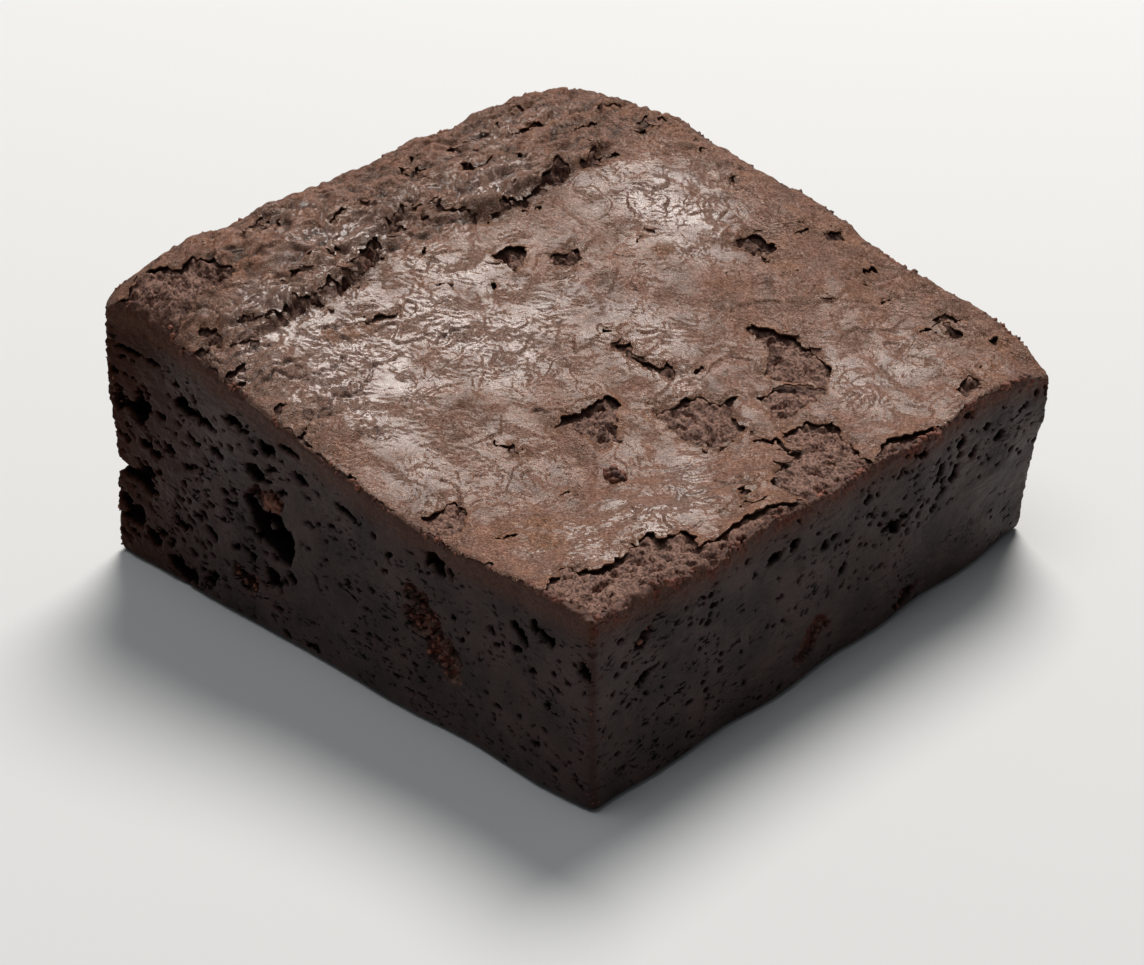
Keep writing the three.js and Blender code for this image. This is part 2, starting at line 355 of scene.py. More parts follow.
def skinEdge(x, y):
    # distance inwards from the skin's ragged outline, negative where the crumb is bare
    sx = x + mixed(x, y, (0.9, 2.6, 1), (0.65, 1.2, 2), (0.4, 0.65, 8))
    sy = y + mixed(x, y, (0.9, 2.6, 3), (0.65, 1.2, 4), (0.4, 0.65, 9))
    fray = 0.1 + mixed(x, y, (0.42, 3.4, 5), (0.4, 1.1, 6), (0.2, 0.6, 10))
    fray = fray + cornerZone(x, y) * noise(x, y, 2.3, 11)  # most broken where it buckled
    edge = edgeDistance(x, y) - np.maximum(fray, 0.05)
    for oval in bareOvals + specks:
        edge = np.minimum(edge, ovalEdge(sx, sy, oval))
    tx, ty = 0.45 * sx + 0.55 * x, 0.45 * sy + 0.55 * y  # these keep more of their drawn shape
    tx, ty = tx + 0.3 * noise(x, y, 0.9, 12), ty + 0.3 * noise(x, y, 0.9, 13)
    for points in bareOutlines.values():
        edge = np.minimum(edge, outlineEdge(tx, ty, points))
    for slotX, slotY, long in rimSlots:
        edge = np.minimum(edge, ovalEdge(sx, sy, (slotX, slotY, long, slotWidth, slotTurn)))
    broken = 0.72 + 0.75 * noise(x, y, 2.2, 7)  # whole skin bridges the rupture here and there
    for width, points in rupture:
        edge = np.minimum(edge, toLine(sx, sy, points) - width * broken)
    return edge


def toRupture(x, y):
    # distance from the rupture's torn stretches, and 1 in its trough
    away, trough = np.full(np.shape(x), 1e9), 0
    for width, points in rupture:
        line = toLine(x, y, points)
        away = np.minimum(away, line - width)
        trough = np.maximum(trough, np.exp(-((line / (width + 1.0)) ** 2)))
    return away, trough


# The kinds of skin lie in zones that fade into one another.
zones = {
    "seam": -18.4,  # x of the line that the rupture follows
    "seamBend": (2.6, -7, 6),  # how far it bends to the rim, the y where it does and its reach
    "rim": -15.5,  # x where the rim's lumps end
    "rimFade": 4,
    "back": 27,  # y where the broken skin by the far cut starts
    "backFade": 6,
    "corner": (-26, 2),  # y and x where the buckled skin by the near cut ends
    "cornerFade": (6, 8),
}


def seam(y):
    bend, bendY, reach = zones["seamBend"]
    return zones["seam"] + 1.2 * noise(y, 0 * y, 6, 81) - bend * np.exp(-(((y - bendY) / reach) ** 2))


def rimZone(x, y):
    # 1 over the lumpy rim, 0 over the sunken middle
    return smooth((zones["rim"] - x + 2.0 * noise(x, y, 9, 21)) / zones["rimFade"])


def backZone(x, y):
    # 1 along the far cut, where the skin is broken up and dull
    return smooth((y - zones["back"] + 3.0 * noise(x, y, 7, 22) - 0.12 * x) / zones["backFade"])


def cornerZone(x, y):
    # 1 where the skin buckled, along the rim's end of the near cut
    (endY, endX), (fadeY, fadeX) = zones["corner"], zones["cornerFade"]
    return smooth((endY - y + 2.0 * noise(x, y, 6, 25)) / fadeY) * smooth((endX - x) / fadeX)


# Where the skin is thin and glassy: x, y, its reach along each, strength.
glossSpots = [
    (-8, -13, 12, 16, 1.0),
    (-7, 21, 9, 8, 1.0),
    (-12, -27, 8, 6, 0.9),
    (12, -24, 6, 8, 0.35),
    (25, -27, 5, 6, 0.45),
    (29, -20, 6, 9, 0.5),
    (27, 20, 12, 12, 0.42),
    (27, -12, 7, 9, 0.4),
    (19, -9, 6, 7, 0.2),
    (10, 2, 10, 8, 0.55),
    (-22, 7, 3.5, 6, 1.2),
    (-21, -28, 3.0, 3.5, 1.1),
    (-25, -14, 4.5, 6, 1.1),
    (-30, 18, 3, 9, 0.6),
    (-27, -2, 3, 4, 0.6),
    (-33, -14, 2.5, 7, 0.5),
    (4, -31, 9, 5, 0.4),
    (-16, -34, 7, 3, 0.8),
]


def glossZone(x, y):
    # where the skin is thin and glassy
    total = 0
    for ox, oy, rx, ry, strength in glossSpots:
        total = total + strength * np.exp(-(((x - ox) / rx) ** 2) - ((y - oy) / ry) ** 2)
    return np.clip((total + 0.05) * (0.85 + mixed(x, y, (0.6, 5, 23), (0.3, 2.2, 24))), 0, 1)


skin = {
    "thickness": 0.34,
    "slack": 0.14,  # how much lower still its underside hangs where nobody sees it
    "grid": 0.19,  # spacing of its vertices
    "foldHeight": 0.16,  # the papery folds where it is glassy
    "foldSize": 0.82,
    "fineHeight": 0.14,
    "fineSize": 0.46,
    "dullShare": 0.55,  # how much of that is left where it is dull
    "lumpHeight": 0.27,
    "rimLump": 1.3,  # the lumps by the rim
    "flakeHeight": 0.6,  # step where one flake of skin laps over the next
    "lipHeight": 0.7,  # the rim's side of the rupture stands up
    "troughDepth": 0.5,
    "curl": 0.2,  # how far a free edge curls up
    "curlReach": 0.7,
    "leaf": 0.16,  # thickness of its upper leaf, where that broke away by itself
    "crackDepth": 0.35,
    "crackWidth": 0.14,
    "torn": 0.13,  # thickness where it thins out at the slab's edge
    "stainHeight": 0.35,
    "underShare": 0.16,  # of the triangles under the skin that are kept
}


def laps(x, y):
    # the skin by the rim lies in overlapping flakes: how high each point stands on its flake, and
    # how close it is to the foot of the next
    rim, back = rimZone(x, y), backZone(x, y)
    drift = 0.3 * x * rim + 0.22 * y * back
    level = drift + 1.1 * layered(x * 1.25, y * 0.8, 4.8, 43, 2)
    part = level - np.floor(level)
    elsewhere = np.clip(0.1 + 0.75 * noise(x, y, 9, 46), 0, 0.4)
    amount = np.maximum(np.maximum(0.5 * rim, 0.6 * back), elsewhere)
    standing = part - smooth((part - 0.86) / 0.14) - 0.4
    return standing * amount, np.exp(-(((part - 0.98) / 0.06) ** 2)) * amount


def broadRelief(x, y):
    # lumps, flakes and the rupture's trough: what the crumb under the skin follows too
    rim, back = rimZone(x, y), backZone(x, y)
    relief = skin["lumpHeight"] * layered(x, y, 4.5, 36, 2)
    rocks = clods(x * 1.2 + 0.7 * noise(x, y, 2, 40), y * 0.8, 5.2, 37, 0.52) - 0.5
    rugged = np.maximum(np.maximum(rim, 0.5 * back), 0.62 * cornerZone(x, y))
    relief = relief + skin["rimLump"] * rugged * rocks
    relief = relief + skin["flakeHeight"] * laps(x, y)[0]
    away, trough = toRupture(x, y)
    rimSide = smooth((seam(y) + 0.4 - x) / 0.8)
    relief = relief + skin["lipHeight"] * rimSide * np.exp(-((np.maximum(away - 0.6, 0) / 1.5) ** 2))
    relief = relief * (1 - 0.6 * np.exp(-edgeDistance(x, y) / 0.6))
    return relief - skin["troughDepth"] * trough


def foldRelief(x, y):
    # sharp papery folds, longest across the slab's diagonal
    along = (x + y) / math.sqrt(2) + 1.3 * noise(x, y, 3.2, 31)
    across = (y - x) / math.sqrt(2) + 0.9 * noise(x, y, 2.7, 32)
    fold = creases(along * 0.75, across * 1.25, skin["foldSize"], 33)
    fine = creases(along * 0.8, across * 1.2, skin["fineSize"], 34)
    calm = smooth(0.5 + 0.9 * noise(x, y, 6.5, 35))  # stretches where the folds fade
    share = skin["dullShare"] * (1 - 0.4 * rimZone(x, y)) + (1 - skin["dullShare"]) * glossZone(x, y)
    relief = skin["foldHeight"] * (fold - 0.7) * (0.5 + 0.6 * calm)
    relief = relief + skin["fineHeight"] * (fine - 0.7) * (0.5 + 0.7 * calm)
    return relief * share * smooth(edgeDistance(x, y) / 0.6)


def crackDepth(x, y):
    wx = x + mixed(x, y, (0.35, 1.1, 41), (0.15, 0.45, 44))
    wy = y + mixed(x, y, (0.35, 1.1, 42), (0.15, 0.45, 45))
    depth = 0
    for points in cracks:
        depth = np.maximum(depth, 1.2 - toLine(wx, wy, points) / skin["crackWidth"])
    # finer ones run where the skin was stretched, by the near cut and beside the rupture
    web = np.abs(layered(x * 0.8 + y * 0.3, y * 0.8 - x * 0.3, 5.2, 47, 3))
    strained = np.maximum(smooth((-16 - y) / 9) * smooth((4 - x) / 8), 0.9 * rimZone(x, y))
    depth = np.maximum(depth, (1.15 - web / 0.027) * strained * smooth(0.42 + 1.6 * noise(x, y, 4.2, 48)))
    return np.clip(depth, 0, 1)


# Bare crumb under the missing skin.
bareCrumb = {
    "gap": 0.22,  # left under the skin's edge
    "clearance": 0.36,  # and how much more under whole skin
    "sink": 0.2,  # how deep a bare place lies at least
    "hollowed": 0.3,  # and how much deeper here and there
    "undercut": 0.24,  # how much deeper right at the skin's edge
    "undercutReach": 0.35,
    "tornDepth": 0.85,  # extra depth in the rupture and the slots
    "clodHeight": 0.62,
    "clodSize": 1.5,
}


def hollowing(x, y):
    # from 0 where the skin still clings to the crumb to 1 where it stands off it
    return smooth(0.45 + mixed(x, y, (1.3, 2.6, 57), (0.5, 6, 58)))


def crumbSink(x, y):
    # how far the crumb's top lies under the skin's broad relief, how bare it is and how torn
    edge = skinEdge(x, y)
    inner = edgeDistance(x, y)
    exposed = smooth(0.35 - edge / 0.8)
    clefts = 0.5 - clods(x, y, bareCrumb["clodSize"], 51) + 0.25 * noise(x, y, 3.2, 50)
    pits = np.clip(noise(x, y, 1.1, 54) - 0.24, 0, 1) * 3.0
    away = toRupture(x, y)[0]
    torn = smooth(0.85 - away)
    for slotX, slotY, long in rimSlots:
        torn = np.maximum(torn, 0.8 * smooth(0.8 - ovalEdge(x, y, (slotX, slotY, long, 0.6, slotTurn))))
    for oval in deepOvals:
        torn = np.maximum(torn, 0.75 * smooth(0.6 - ovalEdge(x, y, oval)))
    lumps = 0.65 + mixed(x, y, (0.9, 1.8, 55), (0.9, 0.9, 56), (0.3, 0.5, 59))
    off = hollowing(x, y)
    gap = bareCrumb["gap"] + bareCrumb["clearance"] * smooth((edge - 0.6) / 0.8)
    covered = (skin["thickness"] + gap) * smooth(inner / 1.2) + 0.05
    naked = (bareCrumb["sink"] + bareCrumb["hollowed"] * off) * (0.3 + 0.7 * smooth(inner / 1.2))
    naked = naked + bareCrumb["clodHeight"] * (clefts + pits) * (0.4 + 0.6 * smooth(inner / 0.8))
    shade = np.exp(-((np.minimum(edge + 0.1, 0.3) / bareCrumb["undercutReach"]) ** 2))
    shade = shade * off * smooth(inner / 1.2)
    sink = covered * (1 - exposed) + exposed * naked + bareCrumb["undercut"] * shade
    sink = sink + bareCrumb["tornDepth"] * torn * exposed * lumps
    return sink, smooth(0.5 - edge / 0.6) * smooth(inner / 1.6 - 0.2), torn * exposed


# Pores in the cut faces. A face's own measures run along it (+X or +Y) and up.
# The band runs round the slab: near (-Y), front (+X), far (+Y, backwards), back (-X, backwards).
faceStart = {"near": 0, "front": 1, "far": 2, "back": 3}
pockets = [
    # face, along, up, long and wide radius, turn, depth, how torn and reddish the inside is
    ("near", -12.4, 14.2, 4.2, 1.6, 122, 6.5, 0.05),
    ("near", -9.6, 14.0, 3.6, 2.2, 105, 6.5, 0.05),
    ("near", -11.0, 17.8, 2.6, 1.3, 5, 2.2, 0.6),
    ("near", -12.8, 20.6, 1.8, 0.9, 160, 2.4, 0.1),
    ("near", -26.2, 1.8, 2.4, 1.5, 166, 3.6, 0.05),
    ("near", -25.0, 23.8, 2.2, 1.0, 176, 2.8, 0.0),
    ("near", -21.4, 23.6, 2.6, 0.55, 178, 2.0, 0.0),
    ("near", -32.4, 20.6, 1.6, 1.5, 120, 3.0, 0.0),
    ("near", -35.8, 20.8, 1.8, 1.2, 10, 1.6, 0.4),
    ("near", -32.7, 10.9, 1.6, 1.0, 130, 2.8, 0.1),
    ("near", -34.4, 5.4, 1.5, 0.8, 170, 2.0, 0.1),
    ("near", -31.0, 4.4, 1.5, 1.0, 155, 2.2, 0.1),
    ("near", -36.0, 7.5, 1.2, 0.7, 10, 1.5, 0.1),
    ("near", -36.2, 24.4, 1.0, 0.7, 0, 1.6, 0.1),
    ("near", -33.6, 27.6, 2.4, 0.3, 178, 1.1, 0.0),
    ("near", -30.2, 27.4, 1.6, 0.3, 178, 1.1, 0.0),
    ("near", -15.2, 5.8, 2.2, 1.3, 165, 1.6, 0.7),
    ("near", -11.2, 7.6, 1.3, 0.9, 150, 1.8, 0.1),
    ("near", -11.0, 24.2, 1.2, 0.9, 160, 2.0, 0.0),
    ("near", -7.6, 25.2, 1.9, 0.4, 176, 1.6, 0.0),
    ("near", -27.2, 17.6, 1.3, 0.7, 165, 1.6, 0.0),
    ("near", -19.2, 20.4, 1.4, 0.5, 170, 1.4, 0.0),
    ("near", -6.0, 22.3, 1.6, 0.5, 168, 1.4, 0.0),
    ("near", -26.0, 8.4, 1.4, 0.6, 160, 1.5, 0.0),
    ("near", 13.0, 14.6, 3.4, 1.3, 138, 1.5, 0.8),
    ("near", 12.4, 12.4, 3.0, 1.2, 140, 1.2, 1.0),
    ("near", 15.6, 11.6, 3.4, 1.5, 132, 2.4, 0.9),
    ("near", 15.4, 8.8, 2.6, 1.7, 130, 0.8, 1.0),
    ("near", 14.8, 20.9, 1.5, 1.0, 150, 2.2, 0.1),
    ("near", 17.2, 20.4, 0.8, 0.6, 140, 1.5, 0.1),
    ("near", 1.4, 21.4, 2.1, 0.5, 165, 1.6, 0.0),
    ("near", 27.0, 17.8, 1.8, 0.75, 146, 2.4, 0.0),
    ("near", 29.4, 19.8, 0.8, 0.8, 130, 2.0, 0.0),
    ("near", 31.0, 19.2, 1.3, 0.7, 160, 2.2, 0.0),
    ("near", 36.2, 17.4, 1.3, 0.8, 130, 1.6, 0.1),
    ("front", -2.7, 5.2, 2.6, 1.8, 40, 0.8, 0.9),
    ("front", -4.6, 3.4, 1.4, 1.0, 20, 0.7, 0.9),
    ("front", -6.6, 18.8, 0.75, 0.75, 0, 1.6, 0.0),
    ("front", -1.8, 16.4, 0.9, 0.5, 5, 1.5, 0.0),
    ("front", -9.4, 18.5, 1.5, 0.5, 10, 1.4, 0.0),
    ("front", 1.9, 11.5, 1.1, 0.5, 55, 1.4, 0.0),
    ("front", 9.5, 13.7, 1.7, 0.35, 8, 1.2, 0.0),
    ("front", 18.0, 16.7, 1.2, 0.7, 60, 1.5, 0.0),
    ("front", 21.3, 15.4, 1.0, 0.6, 60, 1.4, 0.0),
    ("front", 28.7, 17.0, 1.0, 0.5, 10, 1.3, 0.0),
    ("front", -30.2, 18.2, 1.6, 0.9, 35, 1.0, 0.4),
    ("front", -30.0, 13.4, 1.5, 0.6, 20, 1.2, 0.0),
    ("front", 14.0, 2.2, 2.4, 1.1, 10, 0.9, 0.4),
    ("far", 9.0, 13.0, 3.0, 2.0, 25, 2.6, 0.4),
    ("far", -19.0, 20.5, 3.4, 1.0, 8, 2.2, 0.1),
    ("far", 24.0, 7.0, 1.8, 0.8, 150, 1.6, 0.2),
    ("back", 12.0, 11.0, 3.2, 2.0, 60, 2.8, 0.4),
    ("back", -14.0, 24.0, 3.6, 0.9, 174, 2.2, 0.1),
    ("back", 25.0, 17.0, 1.6, 1.1, 30, 1.8, 0.2),
]
# Scattered pores: face, along from and to, up from and to (share of the height), count, mean length,
# how much longer than wide.
poreZones = [
    ("near", -37, -8, 0.03, 0.86, 210, 1.0, 3.2),
    ("near", -37, -20, 0.03, 0.8, 50, 1.6, 2.8),
    ("near", -12, 12, 0.04, 0.84, 90, 0.7, 2.8),
    ("near", 6, 37, 0.04, 0.84, 150, 0.55, 2.8),
    ("near", 22, 37, 0.08, 0.8, 30, 0.85, 2.8),
    ("front", -37, -20, 0.08, 0.88, 90, 0.6, 3.0),
    ("front", -22, 16, 0.35, 0.92, 110, 0.6, 2.8),
    ("front", 4, 37, 0.5, 0.95, 110, 0.72, 2.6),
    ("front", -30, 34, 0.04, 0.5, 50, 0.45, 2.4),
    ("far", -37, 37, 0.05, 0.88, 280, 0.9, 2.8),
    ("far", -37, 37, 0.05, 0.85, 70, 1.6, 2.6),
    ("back", -37, 37, 0.05, 0.88, 240, 0.9, 2.8),
    ("back", -37, 37, 0.05, 0.85, 70, 1.6, 2.6),
]
band = {
    "cell": 0.1,  # of the relief map round the slab
    "height": 40,
    "grid": 0.18,  # spacing of the crumb's vertices
    "triangles": 192000,
    "wander": 0.14,  # slow unevenness left by the knife
    "creviceDepth": 1.9,  # the slit round the tall near corner
    "creviceUp": 11.5,
}


def paintOval(depthMap, tornMap, s, up, long, wide, turn, depth, torn, seed):
    # presses one ragged hollow into the band
    cell = band["cell"]
    reach = max(long, wide) * 1.5 + 0.3
    columns = np.arange(int((s - reach) / cell), int((s + reach) / cell) + 1)
    top = min(int((up + reach) / cell) + 1, depthMap.shape[1])
    rows = np.arange(max(int((up - reach) / cell), 0), top)
    if len(rows) == 0:
        return
    gs, gz = np.meshgrid(columns * cell, rows * cell, indexing="ij")
    ragged = min(long, wide)
    lumpy, fine = 1.3 * ragged + 0.25, 0.42
    gs2 = gs + 0.6 * ragged * layered(gs, gz, lumpy, seed, 2) + 0.2 * noise(gs, gz, fine, seed + 5)
    gz2 = gz + 0.6 * ragged * layered(gs, gz, lumpy, seed + 9, 2) + 0.2 * noise(gs, gz, fine, seed + 7)
    inside = -ovalEdge(gs2, gz2, (s, up, long, wide, turn))
    wall = min(0.2 + 0.07 * depth, 0.5 * ragged)
    pressed = depth * smooth(inside / wall)
    if torn:
        pressed = pressed * (1 + torn * mixed(gs, gz, (0.75, 1.3, 61), (0.6, 0.6, 62)))
    wrapped = columns % depthMap.shape[0]
    window = np.ix_(wrapped, rows)
    deeper = pressed > depthMap[window]
    tornMap[window] = np.where(deeper, torn * smooth(inside / 0.5 + 0.6), tornMap[window])
    depthMap[window] = np.maximum(depthMap[window], pressed)


def bandPosition(face, along):
    side = 2 * slab["half"]
    forward = along + side / 2 if face in ("near", "front") else side / 2 - along
    return faceStart[face] * side + forward


def onFace(face, along, inner=0):
    # a point of the plain square on a face, or a little inside it
    out = slab["half"] - inner
    return {"near": (along, -out), "front": (out, along), "far": (along, out), "back": (-out, along)}[face]


def makeBandMaps():
    side = 2 * slab["half"]
    shape = (int(round(4 * side / band["cell"])), int(band["height"] / band["cell"]))
    depthMap, tornMap = np.zeros(shape), np.zeros(shape)
    draws = np.random.default_rng(5)
    for face, low, high, foot, head, count, length, slender in poreZones:
        for k in range(count):
            along = draws.uniform(low, high)
            share = draws.uniform(foot, head)
            long = length * 0.5 * math.exp(draws.normal(0, 0.42))
            wide = long / (1 + (slender - 1) * draws.uniform(0.3, 1.3))
            turn = draws.normal(-9 if face in ("near", "back") else 9, 20)
            depth = min(2.6 * wide + 0.3, 1.8)
            up = share * float(topHeight(*onFace(face, along, 0.5)))
            s = bandPosition(face, along)
            paintOval(depthMap, tornMap, s, up, long, max(wide, 0.11), turn, depth, 0, k % 17)
    for k, (face, along, up, long, wide, turn, depth, torn) in enumerate(pockets):
        flip = turn if face in ("near", "front") else 180 - turn
        paintOval(depthMap, tornMap, bandPosition(face, along), up, long, wide, flip, depth, torn, 20 + k)
    # The crevice round the tall near corner.
    columns = np.arange(shape[0]) * band["cell"]
    fromCorner = np.minimum(columns, 4 * side - columns)
    rows = np.arange(shape[1]) * band["cell"]
    line = band["creviceUp"] + 0.5 * noise(columns, 0 * columns, 3, 71)
    gape = np.clip(1 - fromCorner / 4.6, 0, 1)[:, None] ** 0.6
    slit = 1 - np.abs(rows[None, :] - line[:, None]) / (0.2 + 0.9 * gape)
    depthMap = np.maximum(depthMap, band["creviceDepth"] * gape * smooth(slit * 1.4))
    return depthMap, tornMap


def sample(grid, s, up):
    # reads a band map between its cells
    u = (s / band["cell"]) % grid.shape[0]
    v = np.clip(up / band["cell"], 0, grid.shape[1] - 1.001)
    i, j = np.floor(u).astype(int), np.floor(v).astype(int)
    fu, fv = u - i, v - j
    i2 = (i + 1) % grid.shape[0]
    i = i % grid.shape[0]
    low = grid[i, j] * (1 - fu) + grid[i2, j] * fu
    high = grid[i, j + 1] * (1 - fu) + grid[i2, j + 1] * fu
    return low * (1 - fv) + high * fv


def readPoints(mesh):
    flatList = np.empty(len(mesh.vertices) * 3, np.float32)
    mesh.vertices.foreach_get("co", flatList)
    return flatList.reshape(-1, 3).astype(float)


def writePoints(mesh, points):
    mesh.vertices.foreach_set("co", (points * metre).astype(np.float32).ravel())
    mesh.update()


def addAttribute(mesh, name, values):
    attribute = mesh.attributes.new(name, "FLOAT", "POINT")
    attribute.data.foreach_set("value", values.astype(np.float32))


def newObject(name, mesh):
    made = bpy.data.objects.new(name, mesh)
    bpy.context.scene.collection.objects.link(made)
    return made


def thin(made, share, group=None):
    # collapses the flattest triangles first and keeps that share
    modifier = made.modifiers.new("thin", "DECIMATE")
    modifier.ratio = share
    modifier.use_collapse_triangulate = True
    if group:
        modifier.vertex_group = group
    graph = bpy.context.evaluated_depsgraph_get()
    mesh = bpy.data.meshes.new_from_object(made.evaluated_get(graph))
    made.modifiers.clear()
    old = made.data
    made.data = mesh
    mesh.name = old.name
    bpy.data.meshes.remove(old)


def finished(bm, name, scale=1):
    # the bmesh as a mesh of that name
    bmesh.ops.scale(bm, vec=(scale, scale, scale), verts=bm.verts)
    mesh = bpy.data.meshes.new(name)
    bm.to_mesh(mesh)
    bm.free()
    return mesh


def triangleCount(mesh):
    return sum(len(p.vertices) - 2 for p in mesh.polygons)


def makeCrumb():
    # a square grid for the top, its edge drawn down to the floor, closed by one flat base
    half = slab["half"]
    across = int(round(2 * half / band["grid"]))
    rows = int(round(0.5 * (slab["lowTop"] + boxSize[2]) / band["grid"]))
    bm = bmesh.new()
    bmesh.ops.create_grid(bm, x_segments=across, y_segments=across, size=half)
    bmesh.ops.translate(bm, verts=bm.verts, vec=(0, 0, 1))
    drawn = bmesh.ops.extrude_edge_only(bm, edges=[e for e in bm.edges if e.is_boundary])
    foot = [v for v in drawn["geom"] if isinstance(v, bmesh.types.BMVert)]
    bmesh.ops.translate(bm, verts=foot, vec=(0, 0, -1))
    upright = [e for e in bm.edges if abs(e.verts[0].co.z - e.verts[1].co.z) > 0.5]
    bmesh.ops.subdivide_edges(bm, edges=upright, cuts=rows - 1)
    bmesh.ops.holes_fill(bm, edges=[e for e in bm.edges if e.is_boundary], sides=0)
    bmesh.ops.recalc_face_normals(bm, faces=bm.faces)
    mesh = finished(bm, "crumb")

    points = readPoints(mesh)
    x, y, up = points.T
    near = 1e-3
    isSide = (np.abs(x) > half - near) | (np.abs(y) > half - near)
    s = np.where(y < -half + near, x + half, 0.0)
    s = np.where(x > half - near, 2 * half + y + half, s)
    s = np.where(y > half - near, 4 * half + half - x, s)
    s = np.where((x < -half + near) & (y > -half + near), 6 * half + half - y, s)

    sink, bareness, torn = crumbSink(x, y)
    top = topHeight(x, y) + broadRelief(x, y) - sink
    px, py = place(x, y, up)
    pz = up * top

    # The rounded top edge, shared by the rows of the sides and the outer ring of the top.
    r = slab["topRound"]
    below = np.where(isSide, (1 - up) * top, 0)
    inner = np.where(isSide, 0, np.minimum(half - np.abs(x), half - np.abs(y)))
    turn = np.where(isSide, 1 - below / r, 1 + inner / r) * math.pi / 4
    onRound = np.where(isSide, below < r, inner < r)
    overX, overY = cornerOver(x, y)
    reach = np.maximum(np.hypot(overX, overY), 1e-9)
    outX, outY = np.sign(x) * overX / reach, np.sign(y) * overY / reach
    inwards = np.where(onRound, r * (1 - np.cos(turn)) - inner, 0)
    dropped = np.where(onRound, r * (1 - np.sin(turn)) - below, 0)

    # Pores and the knife's unevenness.
    depthMap, tornMap = makeBandMaps()
    depth = np.where(isSide, sample(depthMap, s, pz), 0)
    tornSide = np.where(isSide, sample(tornMap, s, pz), 0)
    keep = smooth(below / 0.9) * smooth(pz / 0.25)
    wander = band["wander"] * layered(s, pz * 1.4, 8, 72, 3) + 0.03 * noise(s, pz, 1.1, 75)
    toCorner = np.abs((s + half) % (2 * half) - half)
    cornerward = np.minimum(s, 8 * half - s)  # from the tall near corner
    rough = 0.3 + np.exp(-((cornerward / 16) ** 2)) + 0.5 * (s > 4 * half)
    rough = rough + 0.9 * np.exp(-((toCorner / 1.6) ** 2))
    crumbled = smooth((2.3 - below) / 1.4) * np.where((s > 2 * half) & (s < 4 * half), 1, 0.25)
    rough = rough + 1.3 * crumbled
    wander = wander + 0.1 * rough * mixed(s, pz, (1, 1.0, 76), (0.6, 0.5, 77))
    wander = wander * smooth(pz / 2 + 0.3)
    inwards = inwards + np.where(isSide, depth * keep + wander, 0)
    px = px - outX * inwards
    py = py - outY * inwards
    pz = np.maximum(pz - dropped, 0)
    writePoints(mesh, np.column_stack([px, py, pz]))

    addAttribute(mesh, "below", np.where(isSide, below, 0))
    addAttribute(mesh, "pit", np.where(isSide, depth * keep, 0))
    redEdge = crumbled * smooth(0.45 + 1.1 * noise(s, pz, 1.6, 78)) * (s > 2 * half)
    tornSide = np.maximum(tornSide * keep, redEdge)
    addAttribute(mesh, "torn", np.where(isSide, tornSide, np.maximum(bareness, torn)))
    addAttribute(mesh, "deep", np.where(isSide, 0, torn))
    dry = np.exp(-((cornerward / 15) ** 2)) + 0.45 * np.exp(-((toCorner / 0.7) ** 2))
    addAttribute(mesh, "dry", np.where(isSide, dry, 0))
    mesh.shade_smooth()
    made = newObject("crumb", mesh)
    before = triangleCount(mesh)
    # what the skin hides goes first
    hidden = np.flatnonzero(~isSide & (skinEdge(x, y) > 0.9))
    group = made.vertex_groups.new(name="hidden")
    group.add([int(v) for v in hidden], 1.0, "REPLACE")
    hiddenShare = 2 * len(hidden) / before
    thin(made, 1 - 0.94 * hiddenShare, "hidden")
    made.vertex_groups.clear()
    thin(made, band["triangles"] / triangleCount(made.data))
    print("crumb:", before, "triangles thinned to", triangleCount(made.data))
    return made


# The skin's three plates: left of the rupture, the middle, and the front right.
def plateOf(x, y):
    secondSeam = 12.5 + 0.12 * y + 1.6 * noise(y, 0 * y, 7, 82)
    return np.where(x < seam(y), 0, np.where(x < secondSeam, 1, 2))


def stainStrength(x, y):
    strongest = 0
    for stainX, stainY, size, strength in stains:
        near = smooth(1.6 - np.hypot(x - stainX, y - stainY) / size + 0.6 * noise(x, y, 1.4, 95))
        strongest = np.maximum(strongest, strength * near)
    return strongest


